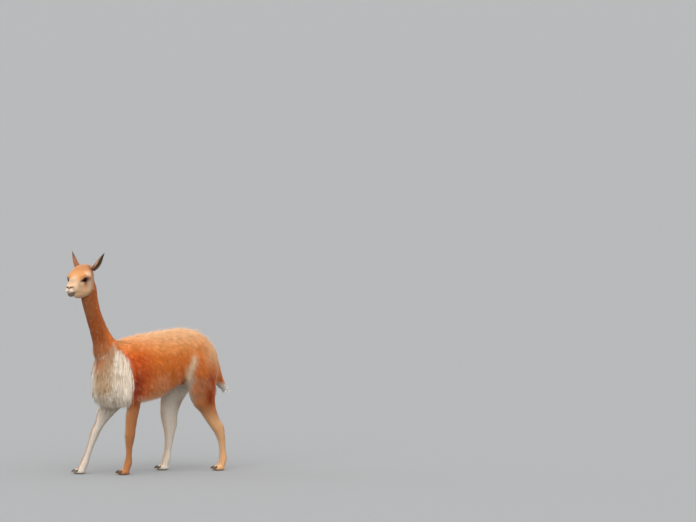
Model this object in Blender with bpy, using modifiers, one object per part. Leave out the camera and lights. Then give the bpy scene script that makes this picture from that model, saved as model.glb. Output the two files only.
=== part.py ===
"""A life-size vicuna, as a still museum model: walking at a pace, the head turned to its left.

Metres, +Z up. The animal faces -Y and its left side is +X. The floor is z = 0, under the four feet.
It is modelled as clay on an armature: rolls through named rings are fused, smoothed, and then parted by
thin cuts into head, neck, chest, trunk, tail and the pieces of each leg. Ears, eyes and nails are set in.
"""

import math

import bmesh
import bpy
import numpy as np
from mathutils import Matrix, Vector

# Driving dimensions, coat included
WITHERS_HEIGHT = 0.80
HEAD_YAW = math.radians(35)  # to the animal's left
HEAD_PITCH = math.radians(7)  # nose down
POLL = Vector((0.0, -0.466, 1.180))  # where the head turns on the neck
HEAD_SCALE = 1.05
EAR_LENGTH = 0.126
EAR_WIDTH = 0.039
EYE_RADIUS = 0.0205
EYE_OPENING = (0.0205, 0.0128)  # half length and half height between the lids
LEG_SPREAD = 0.092  # from the middle plane to each foot
NAIL_SIZE = (0.0088, 0.0185, 0.0088)  # half width, length and height
NAIL_AT = Vector((0, -0.028, 0.0035))  # from the middle of the toe's pad
NAIL_TILT = math.radians(14)

# Making
GAP = 0.0004  # left between neighbours
CLAY_VOXEL = 0.0035
HEAD_TRIANGLES = 1800
FEET_TRIANGLES = 400
BODY_TRIANGLES = 1600
TAIL_TRIANGLES = 260
SOFT_ROUNDS = 34  # of smoothing on the body
FIRM_ROUNDS = 7  # of smoothing everywhere

FAWN = (0.60, 0.24, 0.08, 1)
RUST = (0.38, 0.12, 0.04, 1)
CREAM = (0.75, 0.62, 0.44, 1)
HORN = (0.03, 0.025, 0.02, 1)


# --- Clay -----------------------------------------------------------------------------------------


def eased(rows, steps):
    """The rows with others between them, on a smooth curve through all of them."""
    rows = np.array(rows, float)
    rows = np.vstack([2 * rows[0] - rows[1], rows, 2 * rows[-1] - rows[-2]])
    found = []
    for i in range(1, len(rows) - 2):
        a, b, c, d = rows[i - 1 : i + 3]
        for t in np.arange(steps) / steps:
            curve = 2 * b + (c - a) * t + (2 * a - 5 * b + 4 * c - d) * t**2
            found.append((curve + (3 * b - a - 3 * c + d) * t**3) / 2)
    return np.array([*found, rows[-2]])


def linked(name, mesh):
    """A new object in the scene."""
    made = bpy.data.objects.new(name, mesh)
    bpy.context.scene.collection.objects.link(made)
    return made


def roll(name, rings):
    """A closed roll of clay through rings of points, with a flat cap at each end."""
    bm = bmesh.new()
    loops = [[bm.verts.new(p) for p in ring] for ring in rings]
    around = len(loops[0])
    for low, high in zip(loops, loops[1:]):
        for i in range(around):
            j = (i + 1) % around
            bm.faces.new((low[i], low[j], high[j], high[i]))
    bm.faces.new(loops[0][::-1])
    bm.faces.new(loops[-1])
    bmesh.ops.recalc_face_normals(bm, faces=bm.faces)
    mesh = bpy.data.meshes.new(name)
    bm.to_mesh(mesh)
    bm.free()
    return linked(name, mesh)


def turns(around):
    return np.arange(around) * 2 * math.pi / around


def upright_rings(rows, widest=0.56, crown=0.9, keel=0.9, around=40):
    """Rings across the body from rows of forward, top, bottom and half width.

    The squareness of the crown and of the keel is 1 for an ellipse and less for a boxier ring.
    """
    rings = []
    for forward, top, bottom, half_width in eased(rows, 5):
        level = bottom + (top - bottom) * widest
        across, up = np.cos(turns(around)), np.sin(turns(around))
        square = np.where(up > 0, crown, keel)
        x = half_width * np.sign(across) * np.abs(across) ** square
        lift = np.where(up > 0, top - level, level - bottom)
        z = level + lift * np.sign(up) * np.abs(up) ** square
        rings.append(np.stack([x, np.full(around, -forward), z], 1))
    return rings


def level_rings(rows, x, around=28):
    """Level rings down a limb from rows of height, forward, half depth, half width and outward."""
    rings = []
    for height, forward, half_depth, half_width, outward in eased(rows, 5):
        px = math.copysign(abs(x) + outward, x) + half_width * np.cos(turns(around))
        py = -forward + half_depth * np.sin(turns(around))
        rings.append(np.stack([px, py, np.full(around, height)], 1))
    return rings


def leaning_rings(rows, around=32):
    """Rings square to a bent line from rows of forward, height, half depth and half width."""
    rows = eased(rows, 5)
    line = np.stack([-rows[:, 0], rows[:, 1]], 1)
    along = np.gradient(line, axis=0)
    along /= np.linalg.norm(along, axis=1)[:, None]
    rings = []
    for (_, _, half_depth, half_width), at, way in zip(rows, line, along):
        depth = half_depth * np.sin(turns(around))
        y = at[0] + depth * way[1]
        z = at[1] - depth * way[0]
        rings.append(np.stack([half_width * np.cos(turns(around)), y, z], 1))
    return rings


def ball(name, centre, radii, turn=Matrix.Identity(4)):
    """A ball of clay, longer along some axes, in the head's own frame or the animal's."""
    bpy.ops.mesh.primitive_uv_sphere_add(segments=32, ring_count=20, radius=1)
    made = bpy.context.object
    made.name = name
    place = Matrix.Translation(centre) @ turn @ Matrix.Diagonal((*radii, 1))
    made.data.transform(place)
    return made


# --- Body -----------------------------------------------------------------------------------------

# Places along the trunk: forward of its middle, top, bottom, half width
TRUNK = (
    (-0.410, 0.672, 0.585, 0.040),  # point of the rump
    (-0.393, 0.730, 0.545, 0.085),
    (-0.350, 0.792, 0.520, 0.128),  # root of the tail
    (-0.280, 0.846, 0.515, 0.152),
    (-0.190, 0.868, 0.528, 0.160),  # croup
    (-0.090, 0.860, 0.492, 0.164),  # flank
    (0.020, 0.850, 0.447, 0.166),
    (0.130, 0.836, 0.415, 0.160),  # barrel, deepest behind the elbow
    (0.210, 0.818, 0.405, 0.150),
    (0.290, 0.790, 0.425, 0.136),  # shoulders
    (0.355, 0.745, 0.455, 0.112),
    (0.400, 0.690, 0.500, 0.078),  # breast, with the bib's long hair
    (0.420, 0.640, 0.555, 0.040),
)
# Places up the neck: forward, height, half depth, half width
NECK = (
    (0.240, 0.640, 0.125, 0.105),
    (0.321, 0.742, 0.093, 0.088),
    (0.354, 0.815, 0.065, 0.060),
    (0.384, 0.890, 0.055, 0.051),
    (0.414, 0.970, 0.051, 0.046),
    (0.436, 1.050, 0.052, 0.046),
    (0.448, 1.120, 0.053, 0.048),
    (0.466, 1.180, 0.050, 0.048),
)
# Places down the tail: forward, height, half depth, half width
TAIL = (
    (-0.335, 0.765, 0.024, 0.028),
    (-0.372, 0.710, 0.030, 0.036),
    (-0.395, 0.650, 0.031, 0.040),
    (-0.412, 0.590, 0.029, 0.040),
    (-0.436, 0.535, 0.025, 0.034),
    (-0.462, 0.495, 0.016, 0.022),
    (-0.480, 0.472, 0.005, 0.007),
)
# Places down each leg: height, forward, half depth, half width, and outward of the foot's line.
# The left legs stand at the back of the stride, the right ones at the front.
LEGS = {
    "foreleg_left": (
        (0.600, 0.210, 0.095, 0.050, 0.000),  # shoulder
        (0.500, 0.196, 0.070, 0.044, 0.002),  # elbow
        (0.420, 0.193, 0.051, 0.038, 0.000),
        (0.340, 0.203, 0.041, 0.033, 0.000),
        (0.275, 0.211, 0.037, 0.030, 0.000),
        (0.240, 0.215, 0.037, 0.032, 0.000),  # knee
        (0.205, 0.218, 0.031, 0.028, 0.000),
        (0.150, 0.221, 0.022, 0.022, 0.000),  # cannon
        (0.105, 0.223, 0.022, 0.022, 0.000),
        (0.075, 0.226, 0.026, 0.026, 0.000),  # fetlock
        (0.045, 0.236, 0.026, 0.026, 0.000),
        (0.022, 0.246, 0.027, 0.026, 0.000),
    ),
    "foreleg_right": (
        (0.600, 0.225, 0.095, 0.050, 0.000),
        (0.500, 0.229, 0.092, 0.048, 0.002),
        (0.415, 0.246, 0.086, 0.042, 0.000),
        (0.355, 0.284, 0.061, 0.034, 0.000),
        (0.305, 0.318, 0.040, 0.029, 0.000),
        (0.262, 0.347, 0.033, 0.030, 0.000),
        (0.220, 0.366, 0.029, 0.027, 0.000),
        (0.160, 0.390, 0.023, 0.022, 0.000),
        (0.110, 0.410, 0.023, 0.022, 0.000),
        (0.075, 0.425, 0.027, 0.026, 0.000),
        (0.045, 0.438, 0.026, 0.026, 0.000),
        (0.022, 0.450, 0.027, 0.026, 0.000),
    ),
    "hindleg_left": (
        (0.680, -0.270, 0.105, 0.064, 0.000),  # thigh
        (0.570, -0.274, 0.102, 0.068, 0.000),
        (0.477, -0.275, 0.088, 0.060, -0.002),
        (0.403, -0.292, 0.073, 0.050, -0.004),
        (0.357, -0.320, 0.057, 0.041, -0.004),  # gaskin
        (0.311, -0.346, 0.051, 0.034, -0.003),
        (0.268, -0.375, 0.049, 0.031, 0.000),  # hock
        (0.225, -0.395, 0.036, 0.028, 0.000),
        (0.170, -0.408, 0.025, 0.023, 0.000),
        (0.115, -0.414, 0.023, 0.022, 0.000),
        (0.078, -0.417, 0.027, 0.026, 0.000),
        (0.045, -0.409, 0.026, 0.026, 0.000),
        (0.022, -0.399, 0.027, 0.026, 0.000),
    ),
    "hindleg_right": (
        (0.680, -0.250, 0.120, 0.064, 0.000),
        (0.570, -0.225, 0.115, 0.068, 0.000),
        (0.490, -0.190, 0.092, 0.060, -0.002),
        (0.420, -0.160, 0.074, 0.050, -0.004),
        (0.365, -0.146, 0.063, 0.041, -0.004),
        (0.320, -0.143, 0.057, 0.034, -0.003),
        (0.280, -0.150, 0.053, 0.031, 0.000),
        (0.235, -0.149, 0.040, 0.028, 0.000),
        (0.170, -0.143, 0.028, 0.023, 0.000),
        (0.115, -0.135, 0.024, 0.022, 0.000),
        (0.078, -0.130, 0.027, 0.026, 0.000),
        (0.045, -0.121, 0.026, 0.026, 0.000),
        (0.022, -0.111, 0.027, 0.026, 0.000),
    ),
}
TOE_LENGTH = 0.038  # half
TOE_HEIGHT = 0.0185
TOE_WIDTH = 0.0165
TOE_SPLAY = math.radians(8)


def side_of(leg):
    return 1 if leg.endswith("left") else -1


def toes(leg):
    """For each of the two toes of a leg: its name, the middle of its pad and its turn."""
    _, forward, _, _, _ = LEGS[leg][-1]
    for where, step in (("inner", -1), ("outer", 1)):
        out = side_of(leg) * step
        x = side_of(leg) * LEG_SPREAD + out * TOE_WIDTH * 0.86
        middle = Vector((x, -forward - 0.012, TOE_HEIGHT * 0.86))
        yield f"{leg}_{where}", middle, Matrix.Rotation(out * TOE_SPLAY, 4, "Z")


def body_clay():
    pieces = [
        roll("clay_trunk", upright_rings(TRUNK)),
        roll("clay_neck", leaning_rings(NECK)),
    ]
    for leg, rows in LEGS.items():
        pieces.append(roll(leg, level_rings(rows, side_of(leg) * LEG_SPREAD)))
        for name, middle, turn in toes(leg):
            radii = (TOE_WIDTH, TOE_LENGTH, TOE_HEIGHT)
            pieces.append(ball(f"clay_{name}", middle, radii, turn))
    for side in (-1, 1):
        # the haunch and the shoulder fill out the trunk over each leg
        hip = Vector((side * 0.078, 0.242, 0.658))
        pieces.append(ball("clay_haunch", hip, (0.086, 0.125, 0.166)))
        shoulder = Vector((side * 0.080, -0.245, 0.600))
        pieces.append(ball("clay_shoulder", shoulder, (0.078, 0.110, 0.165)))
    return pieces


# --- Head -----------------------------------------------------------------------------------------
# In its own frame the head looks along -Y from the poll at the origin, before HEAD_SCALE.

SKULL = (  # forward of the poll, top, bottom, half width
    (-0.045, 0.030, -0.045, 0.024),
    (-0.030, 0.064, -0.066, 0.042),
    (0.000, 0.087, -0.078, 0.052),
    (0.030, 0.092, -0.090, 0.059),  # crown and angle of the jaw
    (0.060, 0.087, -0.096, 0.063),
    (0.085, 0.074, -0.094, 0.059),  # eyes
    (0.108, 0.055, -0.089, 0.048),
    (0.134, 0.035, -0.081, 0.038),
    (0.160, 0.019, -0.071, 0.032),
    (0.181, 0.008, -0.064, 0.029),  # muzzle
    (0.196, -0.004, -0.055, 0.024),
    (0.203, -0.018, -0.042, 0.013),
)
EYE_AT = Vector((0.0415, -0.093, 0.016))  # the left eye's centre
EYE_WAY = Vector((0.86, -0.50, 0.06))  # where it looks
# The ears are turned on their own: the left one (1) lies back, the right one (-1) stands up
EAR_ROOTS = {1: Vector((0.041, 0.002, 0.060)), -1: Vector((0.031, 0.014, 0.058))}
EAR_WAYS = {1: Vector((0.66, 0.84, 1.0)), -1: Vector((0.70, 0.22, 1.14))}  # outward, back, up
EAR_OPEN = Vector((1.0, -0.10, 0.0))  # where the mouth of the left one faces


def head_frame():
    yaw = Matrix.Rotation(HEAD_YAW, 4, "Z")
    pitch = Matrix.Rotation(HEAD_PITCH, 4, "X")
    return Matrix.Translation(POLL) @ yaw @ pitch @ Matrix.Scale(HEAD_SCALE, 4)


def mirrored(point, side):
    return Vector((side * point[0], point[1], point[2]))


def head_clay():
    pieces = [roll("clay_skull", upright_rings(SKULL, widest=0.55, crown=0.80, keel=1.05))]
    for side in (-1, 1):
        brow = mirrored((0.036, -0.082, 0.036), side)
        pieces.append(ball("clay_brow", brow, (0.025, 0.038, 0.022)))
        cheek = mirrored((0.026, -0.056, -0.036), side)
        pieces.append(ball("clay_cheek", cheek, (0.033, 0.056, 0.049)))
        orbit = mirrored(EYE_AT, side)
        lid = EYE_RADIUS / HEAD_SCALE + 0.0032
        pieces.append(ball("clay_orbit", orbit, (lid, lid * 1.12, lid)))
        nostril = mirrored((0.0135, -0.187, -0.012), side)
        pieces.append(ball("clay_nostril", nostril, (0.0125, 0.015, 0.013)))
        lip = mirrored((0.0115, -0.188, -0.034), side)
        pieces.append(ball("clay_lip", lip, (0.016, 0.019, 0.0145)))
    chin = Vector((0, -0.176, -0.0565))
    pieces.append(ball("clay_chin", chin, (0.022, 0.022, 0.015)))
    for piece in pieces:
        piece.data.transform(head_frame())
    return pieces


def strokes():
    """Strokes pressed into the head: points in its frame, radius and depth."""
    for side in (-1, 1):
        tear = [(0.042, -0.118, 0.006), (0.037, -0.128, -0.002)]
        yield [mirrored(p, side) for p in tear], 0.006, 0.003
        slit = [(0.007, -0.2010, -0.013), (0.014, -0.1995, -0.009), (0.021, -0.193, -0.006)]
        yield [mirrored(p, side) for p in slit], 0.0042, 0.0060
        mouth = [
            (0.000, -0.2050, -0.0475),
            (0.014, -0.1990, -0.0480),
            (0.027, -0.1810, -0.0500),
            (0.034, -0.1570, -0.0520),
            (0.037, -0.1410, -0.0520),
        ]
        yield [mirrored(p, side) for p in mouth], 0.0038, 0.0042
    yield [(0, -0.207, -0.020), (0, -0.208, -0.034), (0, -0.206, -0.045)], 0.0032, 0.0030


def pressed(mesh):
    """Presses every stroke into the clay, along its normals."""
    count = len(mesh.vertices)
    place, normal = np.empty(count * 3, np.float32), np.empty(count * 3, np.float32)
    mesh.vertices.foreach_get("co", place)
    mesh.vertices.foreach_get("normal", normal)
    place, normal = place.reshape(-1, 3), normal.reshape(-1, 3)
    frame = head_frame()
    for points, radius, depth in strokes():
        line = eased([tuple(frame @ Vector(p)) for p in points], 6)
        radius, depth = radius * HEAD_SCALE, depth * HEAD_SCALE
        middle, reach = line.mean(0), np.ptp(line, axis=0).max() + 3 * radius
        near = np.flatnonzero(np.abs(place - middle).max(1) < reach)
        apart = np.linalg.norm(place[near][:, None] - line[None], axis=2).min(1)
        push = depth * np.exp(-((apart / radius) ** 2))
        place[near] -= normal[near] * push[:, None]
    mesh.vertices.foreach_set("co", place.ravel())
    mesh.update()


# --- Fused, parted and set in ---------------------------------------------------------------------


def evaluated(made):
    """The object's mesh with its modifiers applied, in place of the old one."""
    graph = bpy.context.evaluated_depsgraph_get()
    mesh = bpy.data.meshes.new_from_object(made.evaluated_get(graph))
    made.modifiers.clear()
    made.data = mesh
    return made


def fused(name, pieces):
    bpy.ops.object.select_all(action="DESELECT")
    for piece in pieces:
        piece.select_set(True)
    bpy.context.view_layer.objects.active = pieces[0]
    bpy.ops.object.join()
    made = bpy.context.object
    made.name = name
    remesh = made.modifiers.new("fuse", "REMESH")
    remesh.mode = "VOXEL"
    remesh.voxel_size = CLAY_VOXEL
    return evaluated(made)


def group_of(made, name, weigh):
    group = made.vertex_groups.new(name=name)
    for vertex in made.data.vertices:
        group.add([vertex.index], weigh(vertex.co), "REPLACE")
    return group.name


def near_head(point):
    """1 in the head, falling to 0 down the neck."""
    below = (head_frame().inverted() @ point).z + 0.105
    inside = (point - POLL).length < 0.32 and point.z > 1.0
    return min(1.0, max(0.0, below / 0.03)) * inside


def near_foot(point):
    return min(1.0, max(0.0, (0.10 - point.z) / 0.04))


def smoothed(made):
    """Blends the rolls into each other, most on the body and least on the head and feet."""
    soft = group_of(made, "soft", lambda p: 1 - max(near_head(p), near_foot(p)))
    for group, rounds in ((soft, SOFT_ROUNDS), ("", FIRM_ROUNDS)):
        smooth = made.modifiers.new("smooth", "SMOOTH")
        smooth.iterations = rounds
        smooth.factor = 0.5
        smooth.vertex_group = group
    return evaluated(made)


def thinned(made):
    """Fewer triangles: each of the head, the feet and the rest is brought to its own number."""
    zones = (
        (lambda p: near_head(p) > 0.5, HEAD_TRIANGLES),
        (lambda p: p.z < 0.09, FEET_TRIANGLES),
        (lambda p: near_head(p) <= 0.5 and p.z >= 0.09, BODY_TRIANGLES),
    )
    for inside, wanted in zones:
        every = sum(len(p.vertices) - 2 for p in made.data.polygons)
        here = sum(len(p.vertices) - 2 for p in made.data.polygons if inside(p.center))
        group = group_of(made, "thin", lambda p: float(inside(p)))
        thin = made.modifiers.new("thin", "DECIMATE")
        thin.ratio = (every - here + wanted) / every
        thin.vertex_group = group
        thin.vertex_group_factor = 0.001
        thin.use_collapse_triangulate = True
        evaluated(made)
        made.vertex_groups.clear()
    return made


def apply_boolean(made, cutter, operation="DIFFERENCE"):
    """Cuts the object by the cutter, which is then thrown away."""
    cut = made.modifiers.new("cut", "BOOLEAN")
    cut.operation = operation
    cut.solver = "EXACT"
    cut.object = cutter
    evaluated(made)
    bpy.data.objects.remove(cutter)
    return made


def copy_of(made, grown=0.0):
    """A copy of the object, its surface moved outward."""
    other = linked(made.name + "_copy", made.data.copy())
    if grown:
        normals = [v.normal.copy() for v in other.data.vertices]
        for vertex, normal in zip(other.data.vertices, normals):
            vertex.co += normal * grown
    return other


def slab(at, normal, across, size):
    """A thin box square to a normal: the saw that parts two neighbours."""
    normal = Vector(normal).normalized()
    across = Vector(across)
    across = (across - normal * across.dot(normal)).normalized()
    turn = Matrix((across, normal.cross(across), normal)).transposed().to_4x4()
    bpy.ops.mesh.primitive_cube_add(size=1)
    made = bpy.context.object
    made.data.transform(Matrix.Translation(at) @ turn @ Matrix.Diagonal((*size, GAP, 1)))
    return made


def cuts():
    """Every thin cut, in turn: the node it takes off the body, a point well inside that node, where
    its origin goes, its colour, and the saw: a point on it, its normal, a way along it and its size.
    """
    for leg, rows in LEGS.items():
        side, fore = side_of(leg), leg.startswith("fore")
        spots = [Vector((side * LEG_SPREAD, -row[1], row[0])) for row in rows]
        joint = 5 if fore else 6
        shin = spots[joint - 1] - spots[joint + 1]
        saw = (spots[-3], (0, 0, 1), (1, 0, 0), (0.12, 0.14))
        yield f"{leg}_foot", spots[-2], spots[-3], FAWN, saw
        saw = (spots[joint], shin, (1, 0, 0), (0.12, 0.15))
        yield f"{leg}_lower", spots[joint + 1], spots[joint], FAWN, saw
        # the limb leaves the body along a slope that rises outward
        lean, height, wide, deep = (0.60, 0.444, 0.28, 0.25) if fore else (0.50, 0.512, 0.34, 0.19)
        top = Vector((side * 0.103, -rows[2][1], height))
        saw = (top, (-side * lean, 0, 1), (0, 1, 0), (wide, deep))
        yield f"{leg}_upper", spots[joint - 2], top, FAWN, saw
    frame = head_frame()
    turn = frame.to_3x3()
    nape = frame @ Vector((0, -0.026, -0.104))
    saw = (nape, turn @ Vector((0, -0.83, 0.56)), turn @ Vector((1, 0, 0)), (0.26, 0.36))
    yield "head", frame @ Vector((0, -0.05, 0)), POLL, FAWN, saw
    saw = (Vector((0, -0.352, 0.775)), (0, -0.38, 0.92), (1, 0, 0), (0.40, 0.36))
    yield "neck", Vector((0, -0.405, 0.97)), Vector((0, -0.352, 0.775)), RUST, saw
    saw = (Vector((0, -0.270, 0.590)), (0, -0.951, -0.308), (1, 0, 0), (0.60, 0.90))
    yield "chest", Vector((0, -0.35, 0.60)), Vector((0, -0.270, 0.590)), CREAM, saw


def floor_block():
    """The block below the floor, which leaves a flat under every toe."""
    bpy.ops.mesh.primitive_cube_add(size=1)
    made = bpy.context.object
    made.data.transform(Matrix.Translation((0, 0, -0.1)) @ Matrix.Diagonal((2, 3, 0.2, 1)))
    return made


# --- Ears, eyes, nails and tail -------------------------------------------------------------------


def ear(side):
    """A pointed scoop: rolled at the root, open outward, straight along its back."""
    turn = head_frame().to_3x3().normalized()
    way = (turn @ mirrored(EAR_WAYS[side], side)).normalized()
    mouth = turn @ mirrored(EAR_OPEN, side)
    mouth = (mouth - way * mouth.dot(way)).normalized()
    across = way.cross(mouth)
    root = head_frame() @ mirrored(EAR_ROOTS[side], side)
    shape = (  # along, part of the width, half angle of the roll, thickness
        (0.00, 0.66, 150, 0.0050),
        (0.14, 0.82, 137, 0.0050),
        (0.30, 0.95, 112, 0.0048),
        (0.46, 0.97, 95, 0.0045),
        (0.62, 0.84, 82, 0.0042),
        (0.77, 0.58, 71, 0.0038),
        (0.90, 0.30, 64, 0.0030),
        (1.00, 0.07, 60, 0.0012),
    )
    rings = []
    for along, part, angle, thick in shape:
        angle = math.radians(angle)
        radius = part * EAR_WIDTH / 2 / math.sin(min(angle, math.pi / 2))
        middle = root + way * EAR_LENGTH * along + mouth * radius
        outer = np.linspace(-angle, angle, 8)
        for_ring = [(a, radius) for a in outer] + [(a, radius - thick) for a in outer[::-1]]
        ring = []
        for a, r in for_ring:
            ring.append(middle - mouth * (r * math.cos(a)) + across * (r * math.sin(a)))
        rings.append(ring)
    made = roll("ear_left" if side > 0 else "ear_right", rings)
    return made


def eyeball(side, grown=0.0):
    """A plain ball; its pole points where it looks."""
    turn = head_frame().to_3x3().normalized()
    way = turn @ mirrored(EYE_WAY, side)
    centre = head_frame() @ mirrored(EYE_AT, side)
    bpy.ops.mesh.primitive_uv_sphere_add(segments=12, ring_count=8, radius=EYE_RADIUS + grown)
    made = bpy.context.object
    spin = way.to_track_quat("Z", "Y").to_matrix().to_4x4()
    made.data.transform(Matrix.Translation(centre) @ spin)
    return made


def eye_opening(side):
    """The almond between the lids, as a flared plug from the middle of the eyeball outward."""
    turn = head_frame().to_3x3().normalized()
    way = (turn @ mirrored(EYE_WAY, side)).normalized()
    centre = head_frame() @ mirrored(EYE_AT, side)
    # the corner by the nose lies lower
    long = turn @ mirrored((0.50, 0.86, 0.22), side)
    long = (long - way * long.dot(way)).normalized()
    tall = way.cross(long)
    rings = []
    for out, spread in ((0.004, 0.2), (EYE_RADIUS + 0.012, 1.55)):
        ring = []
        for a in turns(20):
            lift = math.sin(a) * (1 - 0.28 * abs(math.cos(a)))
            ring.append(
                centre
                + way * out
                + long * (EYE_OPENING[0] * spread * math.cos(a))
                + tall * (EYE_OPENING[1] * spread * lift)
            )
        rings.append(ring)
    return roll("opening", rings)


def nail(middle, turn, grown=0.0):
    """A horn wedge over the front of one toe, its point just clear of the floor."""
    place = Matrix.Translation(middle) @ turn @ Matrix.Translation(NAIL_AT)
    bpy.ops.mesh.primitive_uv_sphere_add(segments=8, ring_count=6, radius=1)
    made = bpy.context.object
    size = Matrix.Diagonal((*(half + grown for half in NAIL_SIZE), 1))
    made.data.transform(place @ Matrix.Rotation(NAIL_TILT, 4, "X") @ size)
    return made


# --- Naming and placing ---------------------------------------------------------------------------


def put_origin(made, at):
    made.data.transform(Matrix.Translation(-Vector(at)))
    made.location = at


def finished(made, name, colour, origin, roughness=0.9):
    """Names the object, gives it its material and moves its origin."""
    made.name = name
    made.data.name = name
    material = bpy.data.materials.new(name)
    material.use_nodes = True
    shader = material.node_tree.nodes["Principled BSDF"]
    shader.inputs["Base Color"].default_value = colour
    shader.inputs["Roughness"].default_value = roughness
    made.data.materials.clear()
    made.data.materials.append(material)
    for polygon in made.data.polygons:
        polygon.use_smooth = False
    made.data.update()
    put_origin(made, origin)
    return made


def taken_off(body, saw, inside):
    """Saws the body through and gives back the part that holds the point, and the rest."""
    apply_boolean(body, slab(*saw))
    bpy.ops.object.select_all(action="DESELECT")
    body.select_set(True)
    bpy.context.view_layer.objects.active = body
    bpy.ops.object.mode_set(mode="EDIT")
    bpy.ops.mesh.select_all(action="SELECT")
    bpy.ops.mesh.separate(type="LOOSE")
    bpy.ops.object.mode_set(mode="OBJECT")
    loose = sorted(bpy.context.selected_objects, key=lambda o: len(o.data.polygons))
    part = min(loose, key=lambda o: (o.closest_point_on_mesh(inside)[1] - inside).length)
    loose.remove(part)
    rest = loose.pop()
    for crumb in loose:
        bpy.data.objects.remove(crumb)
    return part, rest


def build():
    for old in list(bpy.data.objects):
        bpy.data.objects.remove(old)
    body = fused("body", body_clay() + head_clay())
    smoothed(body)
    pressed(body.data)
    thinned(body)
    apply_boolean(body, floor_block())

    tail = fused("tail", [roll("clay_tail", leaning_rings(TAIL))])
    thin = tail.modifiers.new("thin", "DECIMATE")
    thin.ratio = TAIL_TRIANGLES / (2 * len(tail.data.polygons))
    evaluated(tail)
    apply_boolean(tail, copy_of(body, GAP))
    finished(tail, "tail", FAWN, Vector((0, 0.372, 0.710)))

    for side in (1, -1):
        made = ear(side)
        apply_boolean(made, copy_of(body, GAP))
        finished(made, made.name, RUST, head_frame() @ mirrored(EAR_ROOTS[side], side))
    for side in (1, -1):
        apply_boolean(body, eye_opening(side))
        apply_boolean(body, eyeball(side, GAP))
        name = "eye_left" if side > 0 else "eye_right"
        finished(eyeball(side), name, HORN, head_frame() @ mirrored(EYE_AT, side), 0.1)
    for leg in LEGS:
        for name, middle, turn in toes(leg):
            apply_boolean(body, nail(middle, turn, GAP))
            finished(nail(middle, turn), f"nail_{name}", HORN, middle + NAIL_AT, 0.4)
    for name, inside, origin, colour, saw in cuts():
        part, body = taken_off(body, saw, inside)
        finished(part, name, colour, origin)
    finished(body, "trunk", FAWN, Vector((0, 0, 0.65)))


def centred(solids):
    """Moves the whole animal so that its box stands on the origin."""
    bpy.context.view_layer.update()
    corners = np.array([made.matrix_world @ Vector(c) for made in solids for c in made.bound_box])
    low, high = corners.min(0), corners.max(0)
    shift = Vector((-(low[0] + high[0]) / 2, -(low[1] + high[1]) / 2, -low[2]))
    for made in solids:
        made.location += shift


build()
collection = bpy.data.collections.new("vicuna")
bpy.context.scene.collection.children.link(collection)
solids = list(bpy.data.objects)
centred(solids)
for made in solids:
    for home in list(made.users_collection):
        home.objects.unlink(made)
    collection.objects.link(made)
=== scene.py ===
import math

import bpy
import numpy as np
from mathutils import Matrix, Vector
from mathutils.bvhtree import BVHTree
from mathutils.kdtree import KDTree


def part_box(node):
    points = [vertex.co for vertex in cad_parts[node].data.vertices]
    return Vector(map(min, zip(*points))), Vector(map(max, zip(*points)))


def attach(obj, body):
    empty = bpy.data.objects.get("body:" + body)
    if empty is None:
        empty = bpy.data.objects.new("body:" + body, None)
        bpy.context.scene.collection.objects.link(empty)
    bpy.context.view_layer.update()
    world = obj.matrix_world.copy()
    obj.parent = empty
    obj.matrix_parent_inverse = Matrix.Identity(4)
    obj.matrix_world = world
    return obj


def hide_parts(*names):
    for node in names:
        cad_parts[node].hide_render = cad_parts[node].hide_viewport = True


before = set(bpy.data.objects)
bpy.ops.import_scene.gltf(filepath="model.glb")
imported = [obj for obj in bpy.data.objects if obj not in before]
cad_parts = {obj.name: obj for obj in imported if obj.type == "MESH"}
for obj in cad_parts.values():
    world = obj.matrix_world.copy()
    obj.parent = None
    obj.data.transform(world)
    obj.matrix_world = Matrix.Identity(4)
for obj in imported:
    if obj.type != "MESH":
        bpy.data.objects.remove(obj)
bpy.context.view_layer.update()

# --- Form -----------------------------------------------------------------------------------------
# The body under the coat is one closed form from the lips to the toes and the tail. It is taken over
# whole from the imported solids, eyes and nails with it so that no socket is left, run together at the
# saw cuts, remeshed, and thinned where the fleece will cover it.
FORM_VOXEL = 0.0022
FORM_OVERLAP = 0.0003
FORM_WELD = 0.00001
BARREL_TRIANGLES = 22000
LIMB_TRIANGLES = 58000
HEAD_TRIANGLES = 74000
BARREL_FLOOR = 0.47
BARREL_TOP = 0.80
HEAD_FLOOR = 1.02  # no part of the head hangs lower


def only(*pieces):
    """Selects these objects and no others; the first is the active one."""
    bpy.ops.object.select_all(action="DESELECT")
    for piece in pieces:
        piece.select_set(True)
    bpy.context.view_layer.objects.active = pieces[0]


def places(mesh, kind="co"):
    """The places, or the normals, of a mesh's points."""
    flat = np.empty(len(mesh.vertices) * 3, np.float32)
    mesh.vertices.foreach_get(kind, flat)
    return flat.reshape(-1, 3).astype(float)


def corners_of(mesh):
    """The three points of each triangle."""
    flat = np.empty(len(mesh.loops), np.int32)
    mesh.loops.foreach_get("vertex_index", flat)
    return flat.reshape(-1, 3)


def thinned(piece, inside, wanted):
    """Brings the part of a piece where inside(places) is true down to a number of triangles."""
    mesh = piece.data
    here = inside(places(mesh))
    group = piece.vertex_groups.new(name="thin")
    group.add(np.flatnonzero(here).tolist(), 1.0, "REPLACE")
    group.add(np.flatnonzero(~here).tolist(), 0.0, "REPLACE")
    count = np.empty(len(mesh.polygons), np.int32)
    middle = np.empty(len(mesh.polygons) * 3, np.float32)
    mesh.polygons.foreach_get("loop_total", count)
    mesh.polygons.foreach_get("center", middle)
    share = (count - 2)[inside(middle.reshape(-1, 3))].sum()
    thin = piece.modifiers.new("thin", "DECIMATE")
    thin.ratio = 1 - (share - wanted) / (count - 2).sum()
    thin.vertex_group = group.name
    thin.vertex_group_factor = 0.001
    only(piece)
    bpy.ops.object.modifier_apply(modifier=thin.name)
    piece.vertex_groups.clear()


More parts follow.
